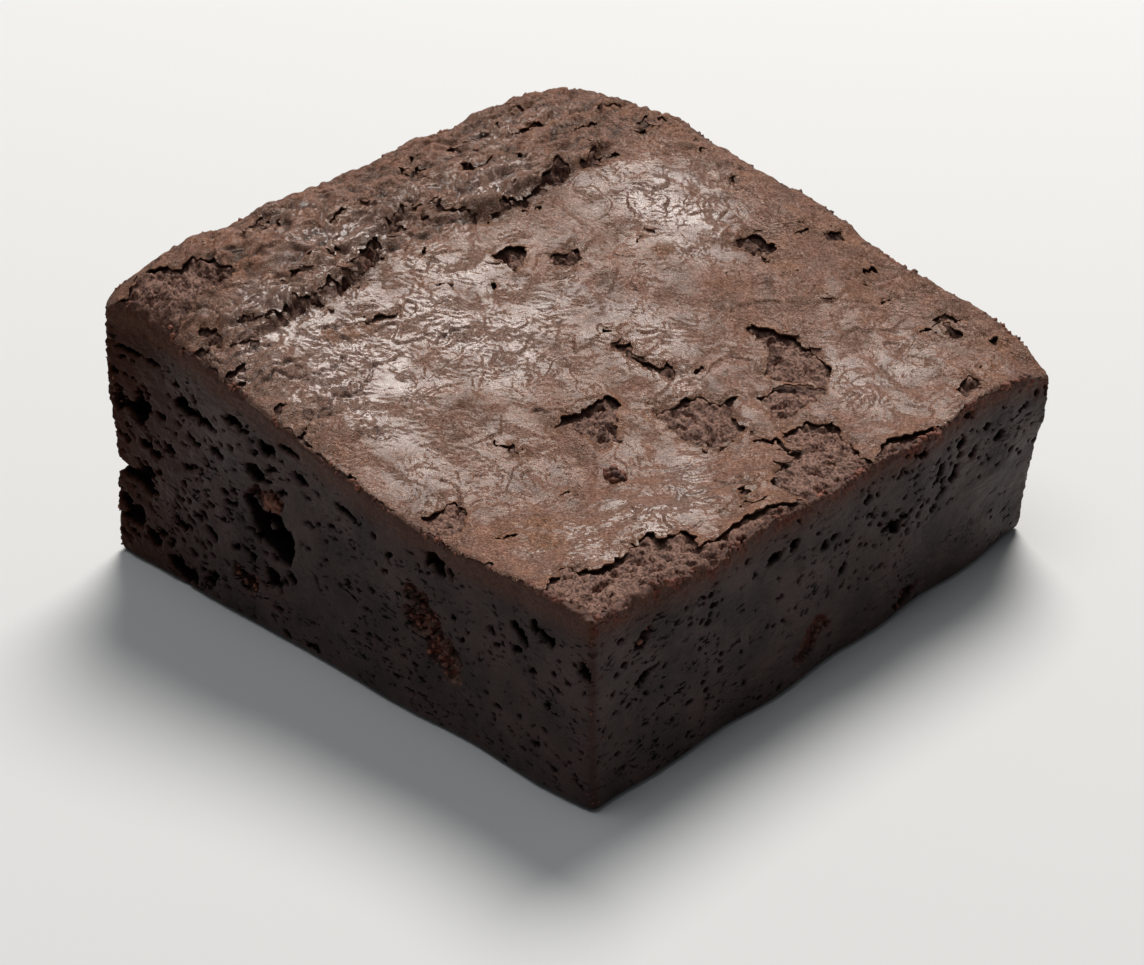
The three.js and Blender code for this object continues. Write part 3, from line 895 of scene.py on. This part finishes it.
def makePlate(name, index):
    half = slab["half"]
    segments = int(round(2 * half / skin["grid"]))
    bm = bmesh.new()
    bmesh.ops.create_grid(bm, x_segments=segments, y_segments=segments, size=half)
    bm.faces.ensure_lookup_table()
    centres = np.array([f.calc_center_median()[:2] for f in bm.faces])
    gone = (plateOf(centres[:, 0], centres[:, 1]) != index) | (skinEdge(centres[:, 0], centres[:, 1]) < 0)
    bmesh.ops.delete(bm, geom=[bm.faces[i] for i in np.flatnonzero(gone)], context="FACES")

    # The free edge moves onto the ragged outline, except along the seams with the other plates.
    rim = [v for v in bm.verts if v.is_boundary]
    at = np.array([v.co[:2] for v in rim])
    for step in range(2):
        x, y = at.T
        edge = skinEdge(x, y)
        d = 0.02
        gx = (skinEdge(x + d, y) - skinEdge(x - d, y)) / (2 * d)
        gy = (skinEdge(x, y + d) - skinEdge(x, y - d)) / (2 * d)
        size = np.maximum(gx * gx + gy * gy, 0.2)
        move = np.clip(edge / size, -0.12, 0.12)
        atEdge = np.abs(edge) < 1.5 * skin["grid"]
        at = at - np.column_stack([gx, gy]) * (move * atEdge)[:, None]
    for v, (x, y) in zip(rim, at):
        v.co.x, v.co.y = x, y

    # A closed sheet: the copy becomes the underside, and its walls meet the top at a crisp edge.
    lower = bmesh.ops.extrude_face_region(bm, geom=bm.faces[:])
    lowerVerts = [v for v in lower["geom"] if isinstance(v, bmesh.types.BMVert)]
    bmesh.ops.translate(bm, verts=lowerVerts, vec=(0, 0, -1))
    bmesh.ops.recalc_face_normals(bm, faces=bm.faces)
    for e in bm.edges:
        if abs(e.link_faces[0].normal.z - e.link_faces[1].normal.z) > 0.5:
            e.smooth = False
    mesh = finished(bm, name)

    points = readPoints(mesh)
    x, y, side = points.T
    isTop = side > -0.5
    edge = np.maximum(skinEdge(x, y), 0)
    drop = edgeDrop(edgeDistance(x, y))
    broad = broadRelief(x, y)
    height = topHeight(x, y) - drop + broad + 0.06 * np.exp(-edgeDistance(x, y) / 0.5)  # a slight lip
    folds = foldRelief(x, y)
    groove = crackDepth(x, y)
    lapFoot = laps(x, y)[1] * smooth(edgeDistance(x, y) / 1.5)
    crisp = np.exp(-edge / skin["curlReach"])
    off = hollowing(x, y)
    lifted = off * np.clip(0.5 + 1.1 * noise(x, y, 3.4, 91), 0, 1)
    inner = smooth(edgeDistance(x, y) / 2 - 0.3)
    lifted = lifted * (1 - 0.6 * rimZone(x, y))
    lift = skin["curl"] * crisp * lifted * inner - 0.16 * np.exp(-edge / 0.35) * (1 - off) * inner
    # the torn edge is stepped where an upper leaf of the skin broke away further back
    stepAt = 0.8 + 0.9 * noise(x, y, 1.9, 98) + 0.3 * noise(x, y, 0.7, 99)
    step = smooth((stepAt - edge) / 0.16) * smooth(0.3 + 1.6 * noise(x, y, 4.2, 100)) * inner
    lift = lift - skin["leaf"] * step
    stained = stainStrength(x, y)
    thickened = skin["stainHeight"] * stained * (clods(x, y, 1.3, 86) - 0.3)
    top = height + folds - skin["crackDepth"] * groove + lift + thickened
    thickness = skin["torn"] + (skin["thickness"] * (1 - 0.5 * crisp) - skin["torn"]) * inner
    under = height - skin["thickness"] - skin["slack"] * smooth((edge - 0.5) / 0.8) + lift * 0.8
    under = np.where(edge < 0.3, top - thickness, np.minimum(under, top - thickness))
    px, py = place(x, y, np.ones_like(x))
    writePoints(mesh, np.column_stack([px, py, np.where(isTop, top, under)]))

    gloss = glossZone(x, y)
    away = toRupture(x, y)[0]
    patchy = smooth(0.5 + mixed(x, y, (1.2, 8, 92), (0.5, 2.6, 93)))
    warm = 0.25 * patchy * (1 - 0.7 * gloss) + 0.4 * np.exp(-edge / 0.5) * inner + 0.25 * step
    warm = warm * (1 - stained) + stained
    gloss = gloss * (1 - 0.8 * stained)
    rim = rimZone(x, y)
    # Darker shares: painted shade in the cracks, at the foot of each lapped flake, in the fold valleys and
    # the low parts of the lumps by the rim and the far cut; darker towards the rupture and along the cut
    # edge; the stains, the lower leaf and random patches by the rim are the skin's own darker colour.
    dark = np.maximum.reduce(
        [
            0.8 * groove,
            0.75 * lapFoot,
            0.4 * stained * smooth(0.5 + 1.5 * noise(x, y, 0.8, 96)),
            0.35 * smooth((-0.06 - folds) / 0.12),
            0.85 * smooth((-0.1 - broad) / 0.5) * np.maximum(rim, backZone(x, y)),
            0.5 * np.exp(-np.maximum(away, 0) / 0.9),
            0.4 * np.exp(-edgeDistance(x, y) / 0.7),
            0.3 * step,
            0.4 * smooth(0.1 + 1.5 * noise(x, y, 4, 94)) * rim,
        ]
    )
    addAttribute(mesh, "gloss", gloss)
    addAttribute(mesh, "warm", np.clip(warm, 0, 1))
    # the underside is given painted shade throughout
    addAttribute(mesh, "dark", np.where(isTop, dark, 0.7))
    mesh.shade_smooth()
    made = newObject(name, mesh)
    underside = made.vertex_groups.new(name="underside")
    hidden = np.flatnonzero(~isTop & (edge > 0.6))
    underside.add([int(v) for v in hidden], 1.0, "REPLACE")
    before = triangleCount(mesh)
    thin(made, 0.5 + 0.5 * skin["underShare"] + 0.02, "underside")
    made.vertex_groups.clear()
    print(name + ":", before, "triangles thinned to", triangleCount(made.data))
    return made


# Small things that stand up from the surface: loose grains of crumb along the edges and in the hollows.
grains = {
    "edgeCount": 620,
    "uprightCount": 54,
    "blobCount": 44,
    "hollowCount": 70,
    "clusterCount": 46,
    "size": (0.12, 0.4),  # radius
    "blob": (19.5, -15.2, 1.15, 0.95),  # the browned lump on the skin: x, y and its half widths
    "cluster": (-10.9, 17.3, 2.3, 1.5),  # the lump in the largest pocket: along, up and its half widths
}


def makeGrains(name, places, seed):
    # each is a ball stretched, turned and dented, so no two are alike
    draws = np.random.default_rng(seed)
    bm = bmesh.new()
    for x, y, z, radius in places:
        turned = Euler(draws.uniform(0, 2 * math.pi, 3)).to_matrix().to_4x4()
        stretched = Matrix.Diagonal((*draws.uniform(0.6, 1.35, 3), 1))
        at = Matrix.Translation((x, y, z)) @ turned @ stretched
        made = bmesh.ops.create_icosphere(bm, subdivisions=1, radius=radius, matrix=at)
        for v in made["verts"]:
            v.co += Vector(draws.uniform(-0.33, 0.33, 3)) * radius
            v.co.z = max(v.co.z, 0.02)
    mesh = finished(bm, name, metre)
    mesh.shade_smooth()
    return newObject(name, mesh)


def onTop(x, y):
    # a point of the plain square on the lumpy top
    px, py = place(np.array(x), np.array(y), np.array(1.0))
    broad = float(broadRelief(np.array([x]), np.array([y]))[0])
    return float(px), float(py), float(topHeight(x, y)) + broad


def edgePlaces(draws, count):
    # along the top edges, thickest on the thin (+X) side where the skin is gone
    half = slab["half"]
    for k in range(count):
        tries = draws.uniform(-half + 1, half - 1, 4)
        along = tries[np.argmax(noise(tries, 0 * tries, 5, 88))]  # they lie in crowds
        face = draws.choice(["near", "front", "front", "far", "far", "back"])
        inner = abs(draws.normal(0.25, 0.35))
        x, y = onFace(face, along, inner)
        radius = draws.uniform(*grains["size"])
        px, py, z = onTop(x, y)
        sink = float(crumbSink(np.array([x]), np.array([y]))[0][0])
        yield px, py, z - float(edgeDrop(np.array(inner))) - min(sink, 1.0) + 0.1 * radius, radius


def uprightPlaces(draws, count):
    # up the knife-cut corners
    half = slab["half"]
    for k in range(count):
        sx, sy = [(1, -1), (1, -1), (1, 1), (-1, -1)][draws.integers(4)]
        off = abs(draws.normal(0, 0.7))
        x, y = (half * sx, (half - off) * sy) if draws.random() < 0.5 else ((half - off) * sx, half * sy)
        top = float(topHeight(x, y)) - 0.5
        up = draws.uniform(0.02, 1) * top
        if sx < 0 and abs(up - band["creviceUp"]) < 1.6:
            continue
        px, py = place(np.array(float(x)), np.array(float(y)), np.array(up / top))
        yield float(px), float(py), up, draws.uniform(0.08, 0.2)


def blobPlaces(draws, count):
    # the browned lump of crumb that sits on the skin
    middleX, middleY, wideX, wideY = grains["blob"]
    for k in range(count):
        turn, reach = draws.uniform(0, 2 * math.pi), math.sqrt(draws.random())
        x, y = middleX + wideX * reach * math.cos(turn), middleY + wideY * reach * math.sin(turn)
        px, py, z = onTop(x, y)
        z = z + 0.5 * (1 - reach * reach) * draws.uniform(0.3, 1)
        yield px, py, z, draws.uniform(0.25, 0.5)


def hollowPlaces(draws, count):
    # reddish torn lumps inside the torn pockets of the two front faces
    half = slab["half"]
    torn = [p for p in pockets if p[7] > 0.35 and p[0] in ("near", "front")]
    for k in range(count):
        face, along, up, long, wide, turn, depth = torn[draws.integers(len(torn))][:7]
        c, s = math.cos(math.radians(turn)), math.sin(math.radians(turn))
        u, v = draws.uniform(-0.85, 0.85) * long, draws.uniform(-0.8, 0.8) * wide
        here, height = along + u * c - v * s, up + u * s + v * c
        inwards = draws.uniform(0.25, 0.8) * depth * 0.8
        x, y = (here, -half) if face == "near" else (half, here)
        share = np.clip(height / float(topHeight(x, y)), 0.01, 1)
        px, py = place(np.array(float(x)), np.array(float(y)), np.array(share))
        if face == "near":
            py = py + inwards
        else:
            px = px - inwards
        yield float(px), float(py), max(height, 0.3), draws.uniform(0.14, 0.36)
    # the lump of crumb that hangs in the largest pocket
    middleX, middleZ, wideX, wideZ = grains["cluster"]
    for k in range(grains["clusterCount"]):
        turn, reach = draws.uniform(0, 2 * math.pi), math.sqrt(draws.random())
        x, z = middleX + wideX * reach * math.cos(turn), middleZ + wideZ * reach * math.sin(turn)
        out = 1.3 * (1 - reach * reach) + draws.uniform(-0.3, 0.3)
        px, py = place(np.array(x), np.array(-half), np.array(0.5))
        yield float(px), float(py) + 1.7 - out, z, draws.uniform(0.35, 0.75)


# Scraps of skin that came loose and lie by its torn edges.
flakes = {
    "count": 42,
    "length": (0.8, 2.3),
    "thickness": 0.12,
    "tilt": 0.2,  # radians at most
}


def flakePlaces(draws):
    # x, y, length, heading and tilt
    x, y = draws.uniform(-slab["half"] + 2, slab["half"] - 2, (2, 9000))
    edge = skinEdge(x, y)
    loose = (edge > 0.2) & (edge < 0.6) & (hollowing(x, y) > 0.3) & (edgeDistance(x, y) > 4)
    for k in np.flatnonzero(loose)[: flakes["count"]]:
        heading = draws.uniform(0, 2 * math.pi)
        yield x[k], y[k], draws.uniform(*flakes["length"]), heading, draws.uniform(-1, 1) * flakes["tilt"]


def makeFlakes(name, places, seed):
    # each is a small sheet with a ragged outline, bent along its length
    draws = np.random.default_rng(seed)
    bm = bmesh.new()
    for x, y, long, heading, tilt in places:
        sheet = bmesh.ops.create_grid(bm, x_segments=7, y_segments=4, size=0.5)["verts"]
        bend = draws.uniform(0.06, 0.2)
        for v in sheet:
            u, w = 2 * v.co.x, 2 * v.co.y
            pull = draws.uniform(0.78, 1.05) if v.is_boundary else 1
            narrowed = 0.42 * w * (1 - 0.55 * u * u)
            v.co = Vector((u * pull, narrowed * pull, bend * (u * u + 3 * narrowed**2))) / 2
        px, py, z = onTop(x, y)
        at = Matrix.Translation((px, py, z + 0.06)) @ Euler((tilt, 0, heading)).to_matrix().to_4x4()
        bmesh.ops.transform(bm, matrix=at @ Matrix.Scale(long, 4), verts=sheet)
    bmesh.ops.solidify(bm, geom=bm.faces[:], thickness=flakes["thickness"])
    bmesh.ops.recalc_face_normals(bm, faces=bm.faces)
    mesh = finished(bm, name, metre)
    points = readPoints(mesh) / metre
    mottled = noise(points[:, 0], points[:, 1], 1.6, 97)
    addAttribute(mesh, "gloss", 0.25 + 0 * mottled)
    addAttribute(mesh, "warm", np.clip(0.35 + 0.4 * mottled, 0, 1))
    addAttribute(mesh, "dark", np.clip(0.25 + 0.3 * mottled, 0, 1))
    mesh.shade_smooth()
    return newObject(name, mesh)


# Materials.


def linear(code):
    # an sRGB hex colour as Blender's linear values
    parts = [int(code[k : k + 2], 16) / 255 for k in (1, 3, 5)]
    return [c / 12.92 if c <= 0.04045 else ((c + 0.055) / 1.055) ** 2.4 for c in parts] + [1.0]


def add(tree, kind, settings=None, **inputs):
    # a node with its settings, each input (named, or in0, in1...) linked or set; its first output
    node = tree.nodes.new(kind)
    for key, value in (settings or {}).items():
        if key != "give":
            setattr(node, key, value)
    for key, value in inputs.items():
        socket = node.inputs[int(key[2:]) if key[2:].isdigit() else key.replace("_", " ")]
        if isinstance(value, bpy.types.NodeSocket):
            tree.links.new(value, socket)
        else:
            socket.default_value = value
    return node.outputs[(settings or {}).get("give", 0)]


def newMaterial(name):
    material = bpy.data.materials.new(name)
    material.use_nodes = True
    tree = material.node_tree
    at = add(tree, "ShaderNodeTexCoord", {"give": "Object"})
    return material, tree, tree.nodes["Principled BSDF"], at


def perMetre(size):
    # the noise scale whose lumps are size millimetres across
    return 1 / (size * metre)


attributeNode, noiseNode, bumpNode = "ShaderNodeAttribute", "ShaderNodeTexNoise", "ShaderNodeBump"
mapNode, rangeNode, mathNode = "ShaderNodeMapping", "ShaderNodeMapRange", "ShaderNodeMath"
mixNode = "ShaderNodeMix"
asColour = {"data_type": "RGBA", "give": 2}  # its share is in0, its colours in6 and in7

skinLook = {
    "brown": "#885944",
    "dark": "#5b382a",
    "pale": "#846558",
    "rust": "#8a5630",
    "painted_crest_highlight": "#b89b8b",  # painted highlight along the crests of the wrinkles
    "glint": "#ffe6d4",  # the sugar's tint on its own reflections
    # painted shade, and also the colour of the stains and darker patches
    "painted_shade_and_stain": "#1d0d08",
    "mottleSize": 2.6,
    "speckSize": 0.7,
    "wrinkleSize": 0.29,
    "wrinkleDepth": 0.24,
    "fineSize": 0.17,  # real ones are finer still, but too fine to show
    "fineDepth": 0.065,
}


def bakedPaperySkin():
    # Sugar and egg dried to a thin shell in the oven: silky where it is whole and stretched, with bright
    # glints along its folds, partly from its gloss and partly a painted highlight along their crests, and
    # dull, redder and darker where it is thick, torn or singed. Painted shade darkens its cracks, fold
    # valleys and lapped flakes, and the paler tone over its glassy zones is partly painted sheen.
    material, tree, shader, at = newMaterial("baked papery sugar skin")
    look = skinLook
    gloss, warm, dark = (
        add(tree, attributeNode, {"attribute_name": name, "give": "Fac"})
        for name in ("gloss", "warm", "dark")
    )
    mottle = add(tree, noiseNode, None, Vector=at, Scale=perMetre(look["mottleSize"]), Detail=4.0)
    mottle = add(tree, rangeNode, None, Value=mottle, From_Min=0.38, From_Max=0.66)
    speck = add(tree, noiseNode, None, Vector=at, Scale=perMetre(look["speckSize"]), Detail=2.0)
    speck = add(tree, rangeNode, None, Value=speck, From_Min=0.5, From_Max=0.75, To_Max=0.5)
    # the folds run mostly across the slab's diagonal, so the pattern is turned, then stretched
    turned = add(
        tree,
        mapNode,
        {"vector_type": "TEXTURE"},
        Vector=at,
        Rotation=(0, 0, math.radians(45)),
        Scale=(1.25, 0.85, 1.0),
    )
    wrinkles = perMetre(look["wrinkleSize"])
    folds = add(tree, noiseNode, None, Vector=turned, Scale=wrinkles, Detail=2.0, Distortion=1.0)
    above = add(tree, mathNode, {"operation": "SUBTRACT"}, in0=folds, in1=0.5)
    crease = add(tree, mathNode, {"operation": "ABSOLUTE"}, in0=above)  # 0 along the crests
    # painted highlight: pale paint along the wrinkle crests, where the bump stands highest
    painted_crest_highlight = add(tree, rangeNode, None, Value=crease, From_Max=0.045, To_Min=0.56, To_Max=0.0)
    # painted shade: the darker tone in the wrinkle valleys, away from their crests
    painted_valley_shade = add(tree, rangeNode, None, Value=crease, From_Min=0.08, From_Max=0.18, To_Max=0.55)
    # paler over the glassy zones: partly the thin film's own tone, partly painted sheen
    pale_tone_and_sheen = add(tree, mathNode, {"operation": "MULTIPLY"}, in0=gloss, in1=0.75)
    colour = add(tree, mixNode, asColour, in0=mottle, in6=linear(look["brown"]), in7=linear(look["dark"]))
    shares = (pale_tone_and_sheen, warm, painted_valley_shade, painted_crest_highlight, speck, dark)
    for share, tone in zip(shares, ("pale", "rust", "dark", "painted_crest_highlight", "dark", "painted_shade_and_stain")):
        colour = add(tree, mixNode, asColour, in0=share, in6=colour, in7=linear(look[tone]))
    tree.links.new(colour, shader.inputs["Base Color"])

    rough = add(tree, rangeNode, None, Value=gloss, To_Min=0.47, To_Max=0.31)
    rough = add(tree, mathNode, {"operation": "ADD"}, in0=rough, in1=speck)
    tree.links.new(rough, shader.inputs["Roughness"])
    shader.inputs["IOR"].default_value = 1.5
    shader.inputs["Specular Tint"].default_value = linear(look["glint"])
    glaze = add(tree, rangeNode, None, Value=gloss, From_Min=0.05, To_Max=0.42)
    tree.links.new(glaze, shader.inputs["Coat Weight"])
    shader.inputs["Coat Roughness"].default_value = 0.18
    shader.inputs["Coat IOR"].default_value = 1.5

    ridge = add(tree, mathNode, {"operation": "MULTIPLY_ADD"}, in0=crease, in1=-2.6, in2=folds)
    strength = add(tree, rangeNode, None, Value=gloss, To_Min=0.95, To_Max=1.0)
    ridge = add(tree, mathNode, {"operation": "MULTIPLY"}, in0=ridge, in1=strength)
    fine = add(tree, noiseNode, None, Vector=at, Scale=perMetre(look["fineSize"]), Detail=1.0)
    bump = add(tree, bumpNode, None, Height=ridge, Distance=look["wrinkleDepth"] * metre, Strength=1.0)
    fineDepth = look["fineDepth"] * metre
    bump = add(tree, bumpNode, None, Height=fine, Distance=fineDepth, Strength=1.0, Normal=bump)
    tree.links.new(bump, shader.inputs["Normal"])
    return material


crumbLook = {
    "cut": "#3e2b26",
    "cutDark": "#2c1f1c",
    "dry": "#371c12",
    "band": "#56392e",
    "bandDark": "#402a23",
    "bandDepth": (1.6, 3.8),  # the warmer crust under the top, and where it ends
    "bare": "#8b6a5c",
    "bareDark": "#3d2720",
    "rough": "#64493d",  # torn open deeper down
    "roughDark": "#331d16",
    "red": "#6d3628",
    "redDark": "#34150f",
    # the painted shade inside the pores
    "hollow": "#0c0504",
    "smearSize": 5,
    "grainSize": 0.32,
    "grainDepth": 0.1,
    "poreSize": 0.75,
    "crowdSize": 6.5,
    "dentSize": 1.3,
    "dentDepth": 0.3,
}


def knifeCutCrumb():
    # Dense moist crumb, drawn smooth by the knife: near black with a faint greasy sheen. Torn open it is
    # granular, dull and warmer, and close under the skin it baked drier, lighter and redder.
    # Its pores are painted darker still, to near black, as painted shade.
    material, tree, shader, at = newMaterial("knife-cut chocolate crumb")
    look = crumbLook
    below, pit, torn, deep, dry = (
        add(tree, attributeNode, {"attribute_name": name, "give": "Fac"})
        for name in ("below", "pit", "torn", "deep", "dry")
    )
    smear = add(tree, noiseNode, None, Vector=at, Scale=perMetre(look["smearSize"]), Detail=4.0)
    smear = add(tree, rangeNode, None, Value=smear, From_Min=0.35, From_Max=0.65)
    grain = add(tree, noiseNode, None, Vector=at, Scale=perMetre(look["grainSize"]), Detail=3.0)
    grainShare = add(tree, rangeNode, None, Value=grain, From_Min=0.36, From_Max=0.62)
    bandFrom, bandTo = look["bandDepth"]
    crust = add(tree, rangeNode, None, Value=below, From_Min=bandFrom, From_Max=bandTo, To_Min=1, To_Max=0)
    normal = add(tree, "ShaderNodeNewGeometry", {"give": "Normal"})
    normal = add(tree, "ShaderNodeSeparateXYZ", {"give": "Z"}, Vector=normal)
    faceUp = add(tree, rangeNode, None, Value=normal, From_Min=0.25, From_Max=0.6)
    dryPart = add(tree, mathNode, {"operation": "MULTIPLY"}, in0=dry, in1=0.9)
    colour = add(tree, mixNode, asColour, in0=smear, in6=linear(look["cut"]), in7=linear(look["cutDark"]))
    colour = add(tree, mixNode, asColour, in0=dryPart, in6=colour, in7=linear(look["dry"]))
    crustTone, bare, tornTone, red = (
        add(tree, mixNode, asColour, in0=grainShare, in6=linear(look[tone + "Dark"]), in7=linear(look[tone]))
        for tone in ("band", "bare", "rough", "red")
    )
    colour = add(tree, mixNode, asColour, in0=crust, in6=colour, in7=crustTone)
    bare = add(tree, mixNode, asColour, in0=deep, in6=bare, in7=tornTone)
    opened = add(tree, mixNode, asColour, in0=faceUp, in6=red, in7=bare)
    colour = add(tree, mixNode, asColour, in0=torn, in6=colour, in7=opened)

    # pores too small to cut into the mesh: painted near-black shade, pressed in, flat like the cut ones, and
    # in crowds
    flat = add(tree, mapNode, {"vector_type": "TEXTURE"}, Vector=at, Scale=(1.6, 1.6, 0.7))
    pores = perMetre(look["poreSize"])
    pore = add(tree, noiseNode, None, Vector=flat, Scale=pores, Detail=2.0, Roughness=0.6)
    pore = add(tree, rangeNode, None, Value=pore, From_Min=0.6, From_Max=0.64)
    crowd = add(tree, noiseNode, None, Vector=at, Scale=perMetre(look["crowdSize"]), Detail=1.0)
    crowd = add(tree, rangeNode, None, Value=crowd, From_Min=0.42, From_Max=0.58)
    lowEnough = add(tree, rangeNode, None, Value=below, From_Min=1.8, From_Max=3.2)
    for share in (crowd, lowEnough):
        pore = add(tree, mathNode, {"operation": "MULTIPLY"}, in0=pore, in1=share)
    # painted shade: the cut pores grow darker, to near black, with their depth
    painted_pit_shade = add(tree, rangeNode, None, Value=pit, From_Min=0.06, From_Max=0.5, To_Max=0.95)
    notTorn = add(tree, mathNode, {"operation": "MULTIPLY_ADD"}, in0=torn, in1=-0.8, in2=1.0)
    painted_pit_shade = add(tree, mathNode, {"operation": "MULTIPLY"}, in0=painted_pit_shade, in1=notTorn)
    painted_pit_shade = add(tree, mathNode, {"operation": "MAXIMUM"}, in0=painted_pit_shade, in1=pore)
    colour = add(tree, mixNode, asColour, in0=painted_pit_shade, in6=colour, in7=linear(look["hollow"]))
    tree.links.new(colour, shader.inputs["Base Color"])

    rough = add(tree, rangeNode, None, Value=torn, To_Min=0.55, To_Max=0.65)
    rough = add(tree, mathNode, {"operation": "MULTIPLY_ADD"}, in0=smear, in1=0.12, in2=rough)
    tree.links.new(rough, shader.inputs["Roughness"])
    shader.inputs["IOR"].default_value = 1.4
    sheen = 0.44
    for duller, loss in ((painted_pit_shade, -0.4), (dry, -0.36), (crust, -0.2)):
        sheen = add(tree, mathNode, {"operation": "MULTIPLY_ADD"}, in0=duller, in1=loss, in2=sheen)
    sheen = add(tree, mathNode, {"operation": "MAXIMUM"}, in0=sheen, in1=0.04)
    tree.links.new(sheen, shader.inputs["Specular IOR Level"])
    height = add(tree, mathNode, {"operation": "MULTIPLY_ADD"}, in0=pore, in1=-2.5, in2=grain)
    dents = add(tree, noiseNode, None, Vector=flat, Scale=perMetre(look["dentSize"]), Detail=2.0)
    bump = add(tree, bumpNode, None, Height=dents, Distance=look["dentDepth"] * metre, Strength=1.0)
    grainy = look["grainDepth"] * metre
    bump = add(tree, bumpNode, None, Height=height, Distance=grainy, Strength=1.0, Normal=bump)
    tree.links.new(bump, shader.inputs["Normal"])
    return material


looseLook = {"dark": "#44251b", "pale": "#7d4732", "toneSize": 1.6}


def looseCrumb():
    # Dry grains rubbed off the edge: dull and reddish brown.
    material, tree, shader, at = newMaterial("loose dry chocolate crumb")
    look = looseLook
    tone = add(tree, noiseNode, None, Vector=at, Scale=perMetre(look["toneSize"]), Detail=2.0)
    tone = add(tree, rangeNode, None, Value=tone, From_Min=0.35, From_Max=0.65)
    colour = add(tree, mixNode, asColour, in0=tone, in6=linear(look["dark"]), in7=linear(look["pale"]))
    tree.links.new(colour, shader.inputs["Base Color"])
    shader.inputs["Roughness"].default_value = 0.75
    return material


def paleBoard():
    # Matt painted board: even and pale.
    material, tree, shader, at = newMaterial("matt painted board")
    shader.inputs["Base Color"].default_value = linear(stage["board"])
    shader.inputs["Roughness"].default_value = 0.85
    return material


# Build.

crumb = makeCrumb()
plates = [makePlate(name, k) for k, name in enumerate(("skin_rim", "skin_middle", "skin_front"))]
draws = np.random.default_rng(3)
edges = list(edgePlaces(draws, grains["edgeCount"])) + list(uprightPlaces(draws, grains["uprightCount"]))
edgeGrains = makeGrains("edge_crumbs", edges + list(blobPlaces(draws, grains["blobCount"])), 1)
hollowGrains = makeGrains("hollow_crumbs", hollowPlaces(draws, grains["hollowCount"]), 2)
skinFlakes = makeFlakes("skin_flakes", flakePlaces(draws), 6)
print("crumbs and flakes placed")

# Everything moves together so that the brownie stands in the middle of the solid's box.
crumbPoints = readPoints(crumb.data) / metre
shift = (boxLow + boxHigh) / 2 - (crumbPoints.min(0) + crumbPoints.max(0)) / 2
pieces = [crumb, edgeGrains, hollowGrains, skinFlakes] + plates
for piece in pieces:
    points = readPoints(piece.data) / metre
    points[:, :2] += shift[:2]
    writePoints(piece.data, points)

crumbMaterial, skinMaterial, looseMaterial = knifeCutCrumb(), bakedPaperySkin(), looseCrumb()
coats = [crumbMaterial, looseMaterial, looseMaterial] + [skinMaterial] * 4
for piece, material in zip(pieces, coats):
    piece.data.materials.clear()
    piece.data.materials.append(material)
    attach(piece, "root")
    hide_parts("brownie")
print("pieces and materials done")

# Floor, light and camera.
stage = {
    "floor": 2.4,  # metres across
    "board": "#cfd1d1",
    "target": (8.0, -9.7, 15.5),
    "azimuth": 44.49,
    "elevation": 31.18,
    "distance": 374.9,
    "roll": -0.67,
    "lens": 107.0,
    "sky": 0.12,
    "skyColour": "#e9edf2",
    # azimuth, elevation, distance and size in metres, watts, colour
    "window": (212, 52, 1.4, 0.7, 25, "#fffaf5"),
    "ceiling": (330, 78, 1.5, 0.9, 5, "#fdfdff"),
    "lightAim": (0, 0, 0.015),
}

bm = bmesh.new()
bmesh.ops.create_grid(bm, x_segments=1, y_segments=1, size=stage["floor"] / 2)
floor = newObject("floor", finished(bm, "floor"))
floor.data.materials.append(paleBoard())


def towards(azimuth, elevation):
    # one metre out from the middle, on that bearing
    a, e = math.radians(azimuth), math.radians(elevation)
    return Vector((math.sin(a) * math.cos(e), -math.cos(a) * math.cos(e), math.sin(e)))


def aimed(position, target, roll=0):
    turn = (Vector(target) - Vector(position)).to_track_quat("-Z", "Y").to_euler()
    turn.rotate_axis("Z", math.radians(roll))
    return turn


def softLight(name, azimuth, elevation, distance, size, power, colour):
    data = bpy.data.lights.new(name, "AREA")
    data.shape, data.size, data.energy = "DISK", size, power
    data.color = linear(colour)[:3]
    made = bpy.data.objects.new(name, data)
    made.location = towards(azimuth, elevation) * distance
    made.rotation_euler = aimed(made.location, stage["lightAim"])
    bpy.context.scene.collection.objects.link(made)


for name in ("window", "ceiling"):
    softLight(name, *stage[name])

world = bpy.data.worlds.new("room")
world.use_nodes = True
background = world.node_tree.nodes["Background"]
background.inputs["Color"].default_value = linear(stage["skyColour"])
background.inputs["Strength"].default_value = stage["sky"]
bpy.context.scene.world = world
bpy.context.scene.view_settings.view_transform = "Standard"

target = Vector(stage["target"]) * metre
back = towards(stage["azimuth"], stage["elevation"])
cameraData = bpy.data.cameras.new("camera")
cameraData.lens = stage["lens"]
cameraData.clip_start = 0.01
camera = bpy.data.objects.new("camera", cameraData)
camera.location = target + back * stage["distance"] * metre
camera.rotation_euler = aimed(camera.location, target, stage["roll"])
bpy.context.scene.collection.objects.link(camera)
bpy.context.scene.camera = camera

print("scene ready")
